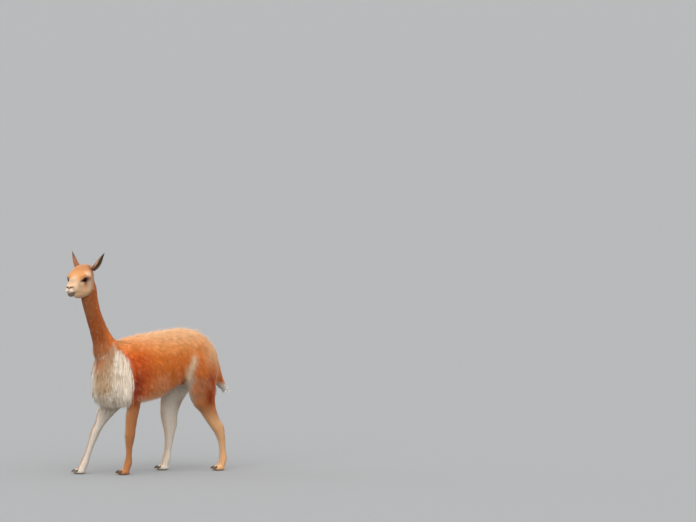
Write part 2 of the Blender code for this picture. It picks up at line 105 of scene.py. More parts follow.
solids = []
for name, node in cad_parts.items():
    solids.append(bpy.data.objects.new(f"form_{name}", node.data.copy()))
    bpy.context.scene.collection.objects.link(solids[-1])
only(*solids)
bpy.ops.object.join()
skin = bpy.context.object
skin.name = "skin"
bpy.ops.object.mode_set(mode="EDIT")
bpy.ops.mesh.select_all(action="SELECT")
bpy.ops.mesh.remove_doubles(threshold=FORM_WELD)
bpy.ops.transform.shrink_fatten(value=FORM_OVERLAP)
bpy.ops.object.mode_set(mode="OBJECT")
skin.data.remesh_voxel_size = FORM_VOXEL
bpy.ops.object.voxel_remesh()


def in_barrel(points):
    return (points[:, 2] > BARREL_FLOOR) & (points[:, 2] < BARREL_TOP)


thinned(skin, in_barrel, BARREL_TRIANGLES)
thinned(skin, lambda points: ~in_barrel(points) & (points[:, 2] < HEAD_FLOOR), LIMB_TRIANGLES)
thinned(skin, lambda points: points[:, 2] >= HEAD_FLOOR, HEAD_TRIANGLES)

# --- Head's own frame -----------------------------------------------------------------------------
# The head turns on the poll, to the animal's left and a little down. In its own frame it looks along
# -Y with its left side at +X, and the places of eyes, nostrils and lips are given there.
POLL = Vector((0.0, -0.3835, 1.180))
HEAD_YAW = math.radians(35)
HEAD_PITCH = math.radians(7)
HEAD_SCALE = 1.05

head_turn = Matrix.Rotation(HEAD_YAW, 4, "Z") @ Matrix.Rotation(HEAD_PITCH, 4, "X")
head_frame = Matrix.Translation(POLL) @ head_turn @ Matrix.Scale(HEAD_SCALE, 4)


def moved(frame_of, points):
    """Points carried through a matrix, as an array."""
    turn = np.array(frame_of)
    return np.asarray(points, float) @ turn[:3, :3].T + turn[:3, 3]


def sided(point, side):
    """A point or a way of the left side, on the left (1) or the right (-1)."""
    return Vector((side * point[0], point[1], point[2]))


def unit(ways):
    return ways / np.maximum(np.linalg.norm(ways, axis=-1, keepdims=True), 1e-9)


# --- Skin: evened out -----------------------------------------------------------------------------
# The skin of a mount is stretched over a smooth form. The flats of the solids are rubbed out, more on
# the barrel than on the limbs, and the face is given twice as many points for the eyes and the lips.
EYE_AT = Vector((0.0415, -0.093, 0.016))
EYE_WAY = Vector((0.86, -0.50, 0.06))
EYE_LONG = Vector((0.50, 0.86, 0.22))  # from the corner by the nose to the one behind
EYE_RADIUS = 0.0205
EYE_LENGTH = 0.0200  # half of the opening between the lids
EYE_HEIGHT = 0.0122
MUZZLE_AT = Vector((0, -0.190, -0.028))
MUZZLE_REACH = 0.042  # how far the finer points go, in the head's frame
EYE_REACH = 0.034
RUBS = 26
SOLID_NAMES = ("head", "neck", "chest", "trunk", "tail", "ear", "eye", "nail", "upper", "lower", "foot")


def zone_name(node):
    if node.startswith("nail"):
        return "foot"
    return next(word for word in SOLID_NAMES if word in node)


class Web:
    """Which points of a mesh touch each other, to even out a shape or a field over it."""

    def __init__(self, mesh):
        flat = np.empty(len(mesh.edges) * 2, np.int32)
        mesh.edges.foreach_get("vertices", flat)
        self.ends = flat.reshape(-1, 2).T
        self.size = len(mesh.vertices)
        self.around = np.maximum(np.bincount(flat, minlength=self.size), 1)[:, None]

    def average(self, field):
        a, b = self.ends
        total = [np.bincount(a, f[b], self.size) + np.bincount(b, f[a], self.size) for f in field.T]
        return np.stack(total, 1) / self.around

    def evened(self, field, rounds, amount=0.5):
        for _ in range(rounds):
            field = field + (self.average(field) - field) * amount
        return field


def ramp(value, low, high):
    """0 below low and 1 above high, smooth between; low may be the greater."""
    t = np.clip((value - low) / (high - low), 0, 1)
    return t * t * (3 - 2 * t)


def set_places(mesh, points):
    mesh.vertices.foreach_set("co", points.astype(np.float32).ravel())
    mesh.update()


def unfolded(mesh, place, soft, rounds=3):
    """Evens out the few places, among the soft ones, where the surface has folded over itself."""
    for _ in range(rounds):
        normal = places(mesh, "normal")
        folded = (unit(web.evened(normal, 8)) * normal).sum(1) < 0.75
        share = np.clip(web.evened((folded * soft)[:, None].astype(float), 4) * 5, 0, 1)
        for _ in range(10):
            place = place + (web.average(place) - place) * share
        set_places(mesh, place)
    return place


in_head = moved(head_frame.inverted(), places(skin.data))
fine = np.linalg.norm(in_head - np.array(MUZZLE_AT), axis=1) < MUZZLE_REACH
for side in (1, -1):
    fine |= np.linalg.norm(in_head - np.array(sided(EYE_AT, side)), axis=1) < EYE_REACH
only(skin)
bpy.ops.object.mode_set(mode="EDIT")
bpy.ops.mesh.select_mode(type="FACE")
bpy.ops.mesh.select_all(action="DESELECT")
bpy.ops.object.mode_set(mode="OBJECT")
chosen = [all(fine[v] for v in face.vertices) for face in skin.data.polygons]
skin.data.polygons.foreach_set("select", chosen)
bpy.ops.object.mode_set(mode="EDIT")
bpy.ops.mesh.subdivide(number_cuts=1)
bpy.ops.mesh.select_all(action="SELECT")
bpy.ops.mesh.quads_convert_to_tris(quad_method="SHORTEST_DIAGONAL")
bpy.ops.object.mode_set(mode="OBJECT")
skin.data.shade_smooth()

solid_corners, solid_faces, solid_zone = [], [], []
for name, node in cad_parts.items():
    start = len(solid_corners)
    solid_corners.extend(v.co.copy() for v in node.data.vertices)
    solid_faces.extend([start + v for v in face.vertices] for face in node.data.polygons)
    solid_zone.extend([SOLID_NAMES.index(zone_name(name))] * len(node.data.polygons))
solid_tree = BVHTree.FromPolygons(solid_corners, solid_faces)
web = Web(skin.data)
place = places(skin.data)
nearest = np.array([solid_zone[solid_tree.find_nearest(p)[2]] for p in place.tolist()])
soft_zone = web.evened((nearest[:, None] == np.arange(len(SOLID_NAMES))).astype(float), 8)
zone = {name: soft_zone[:, i] for i, name in enumerate(SOLID_NAMES)}
zone["head"] = zone["head"] + zone["eye"]

rub = 0.62 * (zone["trunk"] + zone["chest"]) + 0.42 * zone["head"] + 0.30 * zone["neck"]
rub = rub + 0.25 * zone["tail"] + 0.16 * zone["upper"] + 0.10 * zone["lower"] + 0.03 * zone["ear"]
for _ in range(RUBS):
    place = place + (web.average(place) - place) * rub[:, None]
set_places(skin.data, place)
even_parts = zone["trunk"] + zone["chest"] + zone["neck"] + zone["tail"] + zone["upper"]
even_parts = np.clip(even_parts, 0, 1) > 0.5
place = unfolded(skin.data, place, even_parts)

# --- Skin: under the coat -------------------------------------------------------------------------
# The solids end at the tips of the hair, so the skin is drawn in by the depth of the coat. That depth
# follows the hair's length and how steeply it stands: two fingers of wool on the barrel, long locks
# under the bib, and a few millimetres of flat hair on face, ears and feet. The soles stay put.
BIB_DEPTH = 0.020
EAR_DEPTH = 0.0004
BIB_REAR = ([0.38, 0.56, 0.64, 0.69, 0.73, 0.78], [0.230, 0.235, 0.238, 0.244, 0.262, 0.306])
BIB_TOP = ([0.28, 0.315, 0.345, 0.388, 0.42, 0.44], [0.790, 0.780, 0.725, 0.690, 0.720, 0.745])
FOLD = ([0.55, 0.63, 0.70, 0.74], [-0.153, -0.164, -0.182, -0.190])
CHEEK_EDGE = (
    [-0.110, -0.103, -0.081, -0.047, -0.008, 0.020, 0.090],
    [-0.086, -0.059, -0.036, -0.009, 0.000, 0.014, 0.023],
)


def bell(value, middle, width):
    """1 at the middle, and soft to 0 on both sides of it."""
    return np.exp(-(((value - middle) / width) ** 2))


def forward_of(points):
    """How far ahead of the middle of the back."""
    return 0.0825 - points[:, 1]


def bib_over(ahead, height):
    """Where the bib grows: its rear edge crosses the shoulder, and its top dips on the neck's sides."""
    rear = np.interp(height, *BIB_REAR)
    top = np.interp(ahead, *BIB_TOP)
    grown = ramp(ahead, rear - 0.007, rear + 0.009) * ramp(height, top + 0.040, top - 0.028)
    return grown * ramp(height, 0.36, 0.42)


def fold_at(height):
    """Where the fold of skin before the thigh runs, as a place ahead."""
    return np.interp(height, *FOLD)


def behind_cheek(points):
    """How far a point in the head's frame lies behind the edge where cheek and neck meet."""
    return points[:, 1] - np.interp(points[:, 2], *CHEEK_EDGE)


in_head = moved(head_frame.inverted(), place)
ahead, height = forward_of(place), place[:, 2]
crown = ramp(in_head[:, 2], 0.055, 0.085)
cheek_edge = bell(behind_cheek(in_head), -0.010, 0.012) * ramp(in_head[:, 2], 0.05, 0.01)

fleece_long = 0.034 + 0.010 * ramp(ahead, -0.10, -0.30) - 0.010 * ramp(ahead, 0.10, 0.25)
fleece_long = fleece_long - 0.012 * ramp(height, 0.50, 0.44) + 0.004 * ramp(height, 0.72, 0.80)
fleece_rise = 0.26 + 0.10 * ramp(height, 0.76, 0.84) + 0.05 * ramp(ahead, -0.20, -0.35)
fleece_rise = fleece_rise - 0.06 * ramp(ahead, 0.05, 0.22)
leg_long = 0.0125 + 0.012 * ramp(height, 0.36, 0.48) - 0.004 * ramp(height, 0.10, 0.05)
thigh = ramp(height, 0.44, 0.54)
face_long = 0.0058 + 0.010 * crown + 0.005 * ramp(in_head[:, 1], -0.07, -0.02) + 0.011 * cheek_edge
face_long = face_long - 0.0018 * ramp(in_head[:, 1], -0.15, -0.18)
hair_long = {
    "head": face_long,
    "neck": 0.017 + 0.012 * ramp(height, 0.90, 0.78),
    "chest": fleece_long,
    "trunk": fleece_long,
    "tail": 0.036 + 0.014 * ramp(height, 0.58, 0.50),
    "ear": 0.0085 - 0.0050 * ramp(in_head[:, 2], 0.115, 0.150),
    "upper": leg_long + (fleece_long - leg_long) * thigh,
    "lower": leg_long,
    "foot": leg_long,
}
hair_rise = {
    "head": 0.17 + 0.20 * crown + 0.12 * cheek_edge,
    "neck": 0.23,
    "chest": fleece_rise,
    "trunk": fleece_rise,
    "tail": 0.22,
    "ear": 0.17,
    "upper": 0.19 + (fleece_rise - 0.19) * thigh,
    "lower": 0.19,
    "foot": 0.19,
}
coat_long = web.evened(sum(zone[name] * long for name, long in hair_long.items())[:, None], 4)[:, 0]
coat_rise = web.evened(sum(zone[name] * rise for name, rise in hair_rise.items())[:, None], 4)[:, 0]
depth = 1.15 * coat_long * np.sin(coat_rise) + 0.0008
# Wisps stand over the solids' surface in front of the ears and under the jaw.
for ear_foot in ((0.033, -0.004, 0.074), (-0.026, 0.008, 0.070)):
    wisps = bell(np.linalg.norm(in_head - np.array(ear_foot), axis=1), 0, 0.017)
    coat_long = coat_long + 0.008 * wisps
    coat_rise = coat_rise + 0.35 * wisps
wisps = ramp(in_head[:, 2], -0.066, -0.084) * ramp(behind_cheek(in_head), 0.004, -0.010) * zone["head"]
wisps = wisps * ramp(in_head[:, 1], -0.150, -0.120)
coat_long = coat_long + 0.0045 * wisps
coat_rise = coat_rise + 0.30 * wisps
depth = depth + (BIB_DEPTH - depth) * bib_over(ahead, height)
under_cheek = bell(behind_cheek(in_head), 0.012, 0.012) * ramp(in_head[:, 2], 0.03, -0.01)
depth = depth + 0.0045 * under_cheek * ramp(height, 1.00, 1.03)
groove = bell(ahead - fold_at(height), 0.014, 0.011) * ramp(height, 0.70, 0.63)
depth = depth + 0.009 * groove * ramp(height, 0.49, 0.53)
depth = depth + (EAR_DEPTH - depth) * np.clip(zone["ear"] * 1.3, 0, 1)
depth = depth * ramp(height, 0.004, 0.016)
depth = web.evened(depth[:, None], 6)
for _ in range(4):
    place = place - places(skin.data, "normal") * depth / 4
    place = place + (web.average(place) - place) * np.minimum(depth / 0.02, 1) * 0.5
    set_places(skin.data, place)
place = unfolded(skin.data, place, even_parts)

# --- Skin: face -----------------------------------------------------------------------------------
# The face is carved over the form: lids that lie on the eyeballs with a crease over them, a tear
# duct, comma-shaped nostrils, a cleft upper lip and the line of the mouth.
LID_THICKNESS = 0.0016
LID_CREASE = 0.0016
SOCKET_DEPTH = 0.0030  # how far the skin is pressed in behind the opening


def eased(points, steps):
    """A smooth line through a few points."""
    points = np.array(points, float)
    points = np.vstack([2 * points[0] - points[1], points, 2 * points[-1] - points[-2]])
    found = []
    for a, b, c, d in zip(points, points[1:], points[2:], points[3:]):
        for t in np.arange(steps) / steps:
            curve = 2 * b + (c - a) * t + (2 * a - 5 * b + 4 * c - d) * t**2
            found.append((curve + (3 * b - a - 3 * c + d) * t**3) / 2)
    return np.array([*found, points[-2]])


def apart_from(points, line):
    """The distance of each point from a line's own points; far ones are all given as 1."""
    apart = np.ones(len(points))
    near = np.flatnonzero(np.abs(points - line.mean(0)).max(1) < np.ptp(line, axis=0).max() + 0.03)
    apart[near] = np.linalg.norm(points[near][:, None] - line[None], axis=2).min(1)
    return apart


def eye_frame(side):
    """At the eyeball's centre: X along the opening, Y up across it and Z where the eye looks."""
    way = (head_turn.to_3x3() @ sided(EYE_WAY, side)).normalized()
    long = head_turn.to_3x3() @ sided(EYE_LONG, side)
    long = (long - way * long.dot(way)).normalized()
    tall = way.cross(long)
    if tall.z < 0:
        tall = -tall
    turn = Matrix((long, tall, way)).transposed().to_4x4()
    return Matrix.Translation(head_frame @ sided(EYE_AT, side)) @ turn


def opening_height(along):
    """Half the height of the eye's opening at a place along it, from -1 to 1."""
    return EYE_HEIGHT * np.sqrt(np.maximum(1 - along**2, 0)) * (1 - 0.22 * np.abs(along))


def strokes():
    """Lines carved in the face: points in the head's frame, radius, depth, and darkness of the line."""
    for side in (1, -1):
        nostril = [
            (0.0046, -0.2000, -0.0170),
            (0.0078, -0.2005, -0.0128),
            (0.0160, -0.1960, -0.0114),
            (0.0270, -0.1870, -0.0110),
        ]
        yield [sided(p, side) for p in nostril], 0.0031, 0.0062, 1.0
        wing = [(0.0135, -0.2020, -0.0195), (0.0190, -0.1960, -0.0175), (0.0245, -0.1870, -0.0165)]
        yield [sided(p, side) for p in wing], 0.0040, -0.0014, 0.0
        mouth = [
            (0.000, -0.2050, -0.0360),
            (0.010, -0.2030, -0.0378),
            (0.019, -0.1950, -0.0420),
            (0.026, -0.1800, -0.0470),
            (0.031, -0.1620, -0.0500),
            (0.0350, -0.1450, -0.0500),
        ]
        yield [sided(p, side) for p in mouth], 0.0026, 0.0040, 0.50
        tear = [(0.0430, -0.1150, 0.0080), (0.0400, -0.1230, 0.0010), (0.0365, -0.1310, -0.0070)]
        yield [sided(p, side) for p in tear], 0.0042, 0.0018, 0.10
        jaw = [(0.030, -0.120, -0.058), (0.040, -0.090, -0.066), (0.046, -0.060, -0.072)]
        yield [sided(p, side) for p in jaw], 0.0110, 0.0022, 0.0
    yield [(0, -0.2055, -0.0165), (0, -0.2080, -0.0260), (0, -0.2060, -0.0350)], 0.0024, 0.0034, 0.45


def lid_shaped(points, side):
    """Lays the skin round an eye on the eyeball as lids, and presses it in behind the opening.

    Gives the new places, and how dark the lids and their edges are at each.
    """
    at = moved(eye_frame(side).inverted(), points)
    reach = np.linalg.norm(at, axis=1)
    near = (reach < 2.6 * EYE_RADIUS) & (at[:, 2] > 0.15 * EYE_RADIUS)
    along = at[:, 0] / EYE_LENGTH
    height = np.maximum(opening_height(np.clip(along, -0.97, 0.97)), 0.0022)
    out = np.hypot(along, at[:, 1] / height)
    out = np.where(np.abs(along) > 0.97, np.maximum(out, np.abs(along) + np.abs(at[:, 1]) / 0.004), out)
    behind = EYE_RADIUS - SOCKET_DEPTH
    over = EYE_RADIUS + LID_THICKNESS + 0.0006 * ramp(at[:, 1], 0, 0.008)
    radius = behind + (over - behind) * ramp(out, 0.90, 1.04)
    crease = bell(np.abs(at[:, 1]), EYE_HEIGHT * 1.62, 0.0022) * (np.abs(along) < 1.15)
    radius = radius - LID_CREASE * crease
    weight = near * (1 - ramp(out, 1.55, 2.35))
    laid = at * (radius / np.maximum(reach, 1e-6))[:, None]
    at = at + (laid - at) * weight[:, None]
    upper = ramp(at[:, 1], -0.004, 0.006)
    return moved(eye_frame(side), at), near * (1 - ramp(out, 1.16 + 0.06 * upper, 1.46 + 0.10 * upper))


dark = np.zeros(len(place))
face_normal = places(skin.data, "normal")
face_tree = BVHTree.FromPolygons(place.tolist(), corners_of(skin.data).tolist())
for points, radius, deep, darkness in strokes():
    line = moved(head_frame, eased(points, 8))
    line = np.array([face_tree.find_nearest(p)[0] for p in line.tolist()])
    apart = apart_from(place, line)
    place = place - face_normal * (deep * bell(apart, 0, radius * HEAD_SCALE))[:, None]
    dark = np.maximum(dark, darkness * bell(apart, 0, radius * 1.15))
for side in (1, -1):
    place, socket = lid_shaped(place, side)
    dark = np.maximum(dark, socket)
set_places(skin.data, place)

# --- Markings -------------------------------------------------------------------------------------
# A vicuna is fawn above and cinnamon on neck and shoulders, with a white bib, belly and inner legs,
# a pale muzzle and dark lips. Skin and hair take their colour from the same places on the body.


def paint(red, green, blue):
    """A colour as light, from its 0 to 255 values."""
    value = np.array([red, green, blue]) / 255
    return np.where(value <= 0.04045, value / 12.92, ((value + 0.055) / 1.055) ** 2.4)


CREST = paint(230, 175, 126)
FAWN = paint(240, 150, 78)
GOLD = paint(232, 124, 42)
CINNAMON = paint(222, 116, 40)
RUSSET = paint(232, 132, 62)
SHOULDER = np.array((0.84, 0.50, 0.17))  # how much of each light the shoulder's deeper red keeps
DEEPER = np.array((0.52, 0.77, 0.86))  # how much the rust bands behind the bib and down the thigh lose
NECK_RUST = paint(168, 86, 36)
NAPE = paint(190, 102, 44)
CREAM = paint(240, 228, 210)
BELLY = paint(222, 178, 140)
# the bib's duller tan, for dull locks and for painted shade on the bib
BIB_DULL_AND_SHADE = paint(180, 143, 102)
PALE = paint(238, 208, 172)
TAN = paint(182, 117, 70)
SAND = paint(232, 180, 130)
STONE = paint(214, 196, 176)
THIGH = paint(166, 106, 74)
NECK_FOOT = paint(208, 138, 86)
TAWNY = paint(178, 124, 80)
INNER_SHADE_GREY = paint(184, 180, 172)
FOREHEAD = paint(210, 146, 90)
BUFF = paint(212, 176, 142)
CHEEK = paint(246, 198, 144)
CHIN = paint(112, 97, 82)
OLIVE = paint(250, 212, 162)
BLACK = paint(22, 12, 7)
LIP = paint(226, 206, 188)
CHEEK_RIM = paint(226, 186, 152)
EAR_BACK = paint(158, 104, 72)
EAR_FOOT = paint(150, 84, 44)
EAR_TIP = paint(84, 76, 68)
EAR_INSIDE = paint(80, 66, 48)
EAR_RIM = paint(206, 164, 134)


def blended(colour, other, mask):
    return colour + (other - colour) * np.asarray(mask)[:, None]


place = places(skin.data)
normal = places(skin.data, "normal")
ahead = forward_of(place)
height = place[:, 2]
outward = normal[:, 0] * np.sign(place[:, 0])
in_head = moved(head_frame.inverted(), place)

tint = np.tile(FAWN, (len(place), 1))
tint = blended(tint, CREST, ramp(height, 0.755, 0.835))
tint = blended(tint, GOLD, ramp(height, 0.765, 0.705))
tint = blended(tint, CINNAMON, ramp(height, 0.690, 0.620))
tint = blended(tint, RUSSET, ramp(height, 0.620, 0.540))
shoulder = ramp(ahead, 0.05, 0.17) * ramp(height, 0.84, 0.70)
tint = tint * (1 - shoulder[:, None] * (1 - SHOULDER))
rump = ramp(ahead, -0.22, -0.31)
tint = blended(tint, CREST, rump * ramp(height, 0.62, 0.71) * 0.9)
tint = blended(tint, CREST, ramp(ahead, -0.325, -0.360) * ramp(height, 0.50, 0.56) * 0.45)
belly_line = 0.455 + 0.020 * ramp(ahead, 0.0, -0.15)
belly = ramp(height, belly_line + 0.030, belly_line - 0.020) * ramp(ahead, -0.30, -0.20)
belly = belly * (1 - zone["lower"])
tint = blended(tint, BELLY, belly)
tint = blended(tint, CREAM, belly * ramp(outward, 0.65, 0.10))
fold = bell(ahead, fold_at(height), 0.017) * ramp(height, 0.745, 0.71) * ramp(height, 0.56, 0.62)
tint = blended(tint, PALE, fold * 0.45)
thigh_front = bell(ahead, -0.172, 0.022) * ramp(height, 0.62, 0.58) * ramp(height, 0.40, 0.44)
tint = blended(tint, STONE, thigh_front * 0.85)

neck = np.clip(zone["neck"] * 1.2 + zone["head"] + zone["ear"], 0, 1) * ramp(height, 0.715, 0.775)
neck = np.maximum(neck, ramp(ahead, 0.27, 0.33) * ramp(height, 0.64, 0.68))
neck_tint = blended(np.tile(NECK_RUST, (len(place), 1)), NAPE, ramp(normal[:, 1], -0.1, 0.7) * 0.8)
neck_tint = blended(neck_tint, GOLD, ramp(height, 0.92, 0.80) * ramp(normal[:, 1], -0.3, 0.4) * 0.9)
neck_tint = blended(neck_tint, NECK_FOOT, ramp(height, 0.84, 0.75) * 0.55)
neck_tint = blended(neck_tint, TAWNY, ramp(height, 0.92, 1.00) * ramp(-normal[:, 1], -0.2, 0.6) * 0.40)
tint = blended(tint, neck_tint, neck)
inner = ramp(outward, 0.15, -0.25) * ramp(height, 0.60, 0.54)
tint = blended(tint, CREAM * 0.9, inner)
bib = web.evened(bib_over(ahead, height)[:, None], 2)[:, 0]

limb = np.clip(zone["upper"] + zone["lower"] + zone["foot"], 0, 1) * ramp(height, 0.50, 0.40)
hind = ramp(ahead, 0.02, -0.02)
limb_tint = np.tile(TAN, (len(place), 1))
limb_tint = blended(limb_tint, SAND, ramp(height, 0.40, 0.28) * (0.05 + 0.80 * hind))
limb_tint = blended(limb_tint, CREAM, ramp(outward, 0.20, -0.45) * 0.85)
shin = ramp(-normal[:, 1], 0.60, 0.95) * ramp(height, 0.06, 0.16)
limb_tint = blended(limb_tint, PALE, shin * (0.10 + 0.5 * hind))
limb_tint = blended(limb_tint, STONE, thigh_front * 0.8)
hind_front = ramp(-normal[:, 1], 0.2, 0.8) * hind * ramp(height, 0.42, 0.34)
limb_tint = blended(limb_tint, TAWNY, hind_front * 0.3)
limb_tint = blended(limb_tint, TAN, ramp(normal[:, 1], 0.35, 0.85) * (1 - hind) * 0.6)
limb_tint = blended(limb_tint, RUSSET, ramp(outward, -0.1, 0.4) * ramp(height, 0.38, 0.47) * 0.7)
thigh_back = ramp(normal[:, 1], 0.0, 0.7) * ramp(height, 0.34, 0.44) * hind
limb_tint = blended(limb_tint, CINNAMON, thigh_back * 0.8)
# Painted shade: the inner sides of the legs are greyed, as white hair in the shade between the legs.
limb_tint = blended(limb_tint, INNER_SHADE_GREY, ramp(outward, 0.0, -0.6) * 0.35)
tint = blended(tint, limb_tint, limb)
band = bell(ahead, 0.190, 0.040) * ramp(height, 0.67, 0.56) * ramp(height, 0.395, 0.440)
tint = tint * (1 - (band * ramp(outward, 0.0, 0.4))[:, None] * DEEPER)
thigh_middle = bell(ahead, -0.238, 0.042) * ramp(height, 0.61, 0.57) * ramp(height, 0.43, 0.47)
tint = blended(tint, THIGH, thigh_middle * ramp(outward, 0.0, 0.4) * 0.75)
band = bell(ahead, -0.307, 0.038) * ramp(height, 0.65, 0.58)
tint = tint * (1 - (band * ramp(height, 0.38, 0.44) * ramp(outward, 0.0, 0.4))[:, None] * DEEPER)
tint = blended(tint, STONE, thigh_front * ramp(outward, -0.2, 0.3) * 0.5)
# Painted shade: the hollow of the fold before the thigh, over the carved groove, is painted darker.
hollow_shade = bell(ahead, fold_at(height) + 0.013, 0.012) * ramp(height, 0.60, 0.565)
hollow_shade = hollow_shade * ramp(height, 0.505, 0.535) * ramp(outward, 0.1, 0.5)
tint = tint * (1 - 0.82 * hollow_shade)[:, None]
tint = blended(tint, CREAM, bib)

tail = np.clip(zone["tail"] * 1.1, 0, 1)
tail_tint = blended(np.tile(CINNAMON, (len(place), 1)), CREAM, ramp(height, 0.550, 0.518))
tail_tint = blended(tail_tint, CREAM, ramp(-normal[:, 1], 0.2, 0.8) * 0.9)
tint = blended(tint, tail_tint, tail)

MARKS = (  # on the left of the face, and the same on the right: place, reach, colour, strength
    ((0.0110, -0.1180, 0.0440), 0.015, paint(214, 160, 112), 0.50),  # brow
    ((0.0520, -0.0770, 0.0415), 0.012, paint(255, 222, 190), 0.90),
    ((0.0030, -0.1340, 0.0300), 0.014, paint(238, 194, 156), 0.60),
    ((0.0000, -0.1600, 0.0170), 0.022, paint(190, 152, 118), 0.85),  # bridge of the nose
    ((0.0560, -0.0510, 0.0370), 0.018, paint(255, 212, 174), 0.95),  # temple
    ((0.0450, -0.0300, 0.0660), 0.012, paint(206, 122, 68), 0.85),
    ((0.0440, -0.0040, 0.0640), 0.020, paint(176, 92, 40), 0.95),  # foot of the ear
    ((0.0270, -0.1640, -0.0080), 0.019, paint(246, 206, 166), 0.85),  # side of the muzzle
    ((0.0400, -0.1330, -0.0120), 0.013, paint(176, 138, 98), 0.70),  # under the tear duct
    ((0.0500, -0.0960, -0.0200), 0.017, paint(206, 130, 84), 0.70),
    ((0.0530, -0.0940, -0.0050), 0.012, paint(140, 86, 54), 0.85),
    ((0.0405, -0.1180, 0.0120), 0.010, paint(60, 32, 18), 0.95),  # corners of the eye
    ((0.0620, -0.0820, 0.0180), 0.014, paint(36, 18, 9), 1.00),
    ((0.0620, -0.0680, 0.0160), 0.013, paint(124, 62, 22), 0.90),
    ((0.0616, -0.0500, 0.0130), 0.013, paint(150, 80, 34), 0.90),
    ((0.0580, -0.0330, 0.0085), 0.014, paint(186, 116, 62), 0.80),
    ((0.0420, -0.1000, -0.0500), 0.022, CHEEK, 0.70),
    ((0.0400, -0.1250, 0.0010), 0.010, paint(246, 200, 150), 0.60),
)
merging = 0.020 * ramp(in_head[:, 2], 0.010, 0.055)  # the crown runs softly into the nape
head = ramp(behind_cheek(in_head), 0.006 + merging, -0.005 - merging)
head = np.clip(zone["head"] * 1.6, 0, 1) * head * ramp(in_head[:, 2], -0.125, -0.113)
head_tint = blended(np.tile(FOREHEAD, (len(place), 1)), BUFF, ramp(in_head[:, 2], 0.035, 0.000))
head_tint = blended(head_tint, BUFF, ramp(in_head[:, 1], -0.120, -0.155))
head_tint = blended(head_tint, CHEEK, ramp(in_head[:, 2], -0.020, -0.060) * 0.6)
for side in (1, -1):
    for at, reach, colour, strength in MARKS:
        apart = np.linalg.norm(in_head - np.array(sided(at, side)), axis=1)
        head_tint = blended(head_tint, colour, strength * bell(apart, 0, reach))
cheek = bell(behind_cheek(in_head), -0.010, 0.012) * ramp(in_head[:, 2], 0.02, -0.01)
head_tint = blended(head_tint, CHEEK_RIM, cheek * 0.7)
lips = ramp(in_head[:, 1], -0.186, -0.202) * ramp(in_head[:, 2], -0.014, -0.024)
head_tint = blended(head_tint, LIP, lips * 0.8)
jaw = ramp(in_head[:, 2], -0.050, -0.064) * ramp(in_head[:, 1], -0.110, -0.140)
head_tint = blended(head_tint, OLIVE, jaw * 0.7)
chin = ramp(in_head[:, 2], -0.0345, -0.0490) * ramp(in_head[:, 1], -0.154, -0.182)
head_tint = blended(head_tint, CHIN, chin)
tint = blended(tint, head_tint, head)

EAR_ROOTS = {1: Vector((0.041, 0.002, 0.060)), -1: Vector((-0.031, 0.014, 0.058))}
EAR_WAYS = {1: Vector((0.66, 0.84, 1.0)), -1: Vector((-0.70, 0.22, 1.14))}
EAR_OPEN = Vector((1.0, -0.10, 0.0))
EAR_LENGTH = 0.126


def ear_way(side):
    return np.array((head_turn.to_3x3() @ EAR_WAYS[side]).normalized())


for side in (1, -1):
    way = ear_way(side)
    mouth = np.array(head_turn.to_3x3() @ sided(EAR_OPEN, side))
    mouth = unit(mouth - way * (mouth @ way))
    front = np.cross(way, mouth) * side
    along = (place - np.array(head_frame @ EAR_ROOTS[side])) @ way / EAR_LENGTH
    across = (place - np.array(head_frame @ EAR_ROOTS[side])) @ front
    inside = ramp(normal @ mouth + 0.30 * side, 0.15, 0.40)
    ear_tint = blended(np.tile(EAR_BACK, (len(place), 1)), EAR_TIP, ramp(along, 0.50, 0.85) * 0.9)
    ear_tint = blended(ear_tint, EAR_FOOT, ramp(along, 0.22, 0.04) * 0.9)
    ear_tint = blended(ear_tint, EAR_INSIDE, inside)
    rim = inside * ramp(-across, 0.003, 0.009) * bell(along, 0.42, 0.22)
    ear_tint = blended(ear_tint, EAR_RIM, rim * 0.9)
    own_ear = np.clip(zone["ear"] * 1.3, 0, 1) * (np.sign(in_head[:, 0]) == side)
    tint = blended(tint, ear_tint, own_ear)
tint = blended(tint, BLACK, dark)
sole = ramp(height, 0.012, 0.005) * (zone["foot"] > 0.4)
tint = blended(tint, CHIN, sole)
bare = np.clip(dark + sole + chin * head * 0.35, 0, 1)

# --- Skin: finish ---------------------------------------------------------------------------------
# Short hair lies flat on the face, legs and ears, so the skin shows as fine strokes of hair there.
# Nostrils, lips, lid edges and soles are bare: dark, leathery and a little damp.


class Wire:
    """One socket in a finish. Arithmetic on it adds the Math nodes that work it out."""

    def __init__(self, finish, socket):
        self.finish = finish
        self.socket = socket

    def maths(self, operation, first, second):
        return self.finish.node("ShaderNodeMath", {"operation": operation}, {0: first, 1: second})

    def __add__(self, other):
        return self.maths("ADD", self, other)

    def __sub__(self, other):
        return self.maths("SUBTRACT", self, other)

    def __mul__(self, other):
        return self.maths("MULTIPLY", self, other)

    def __rsub__(self, other):
        return self.maths("SUBTRACT", other, self)

    __radd__ = __add__
    __rmul__ = __mul__


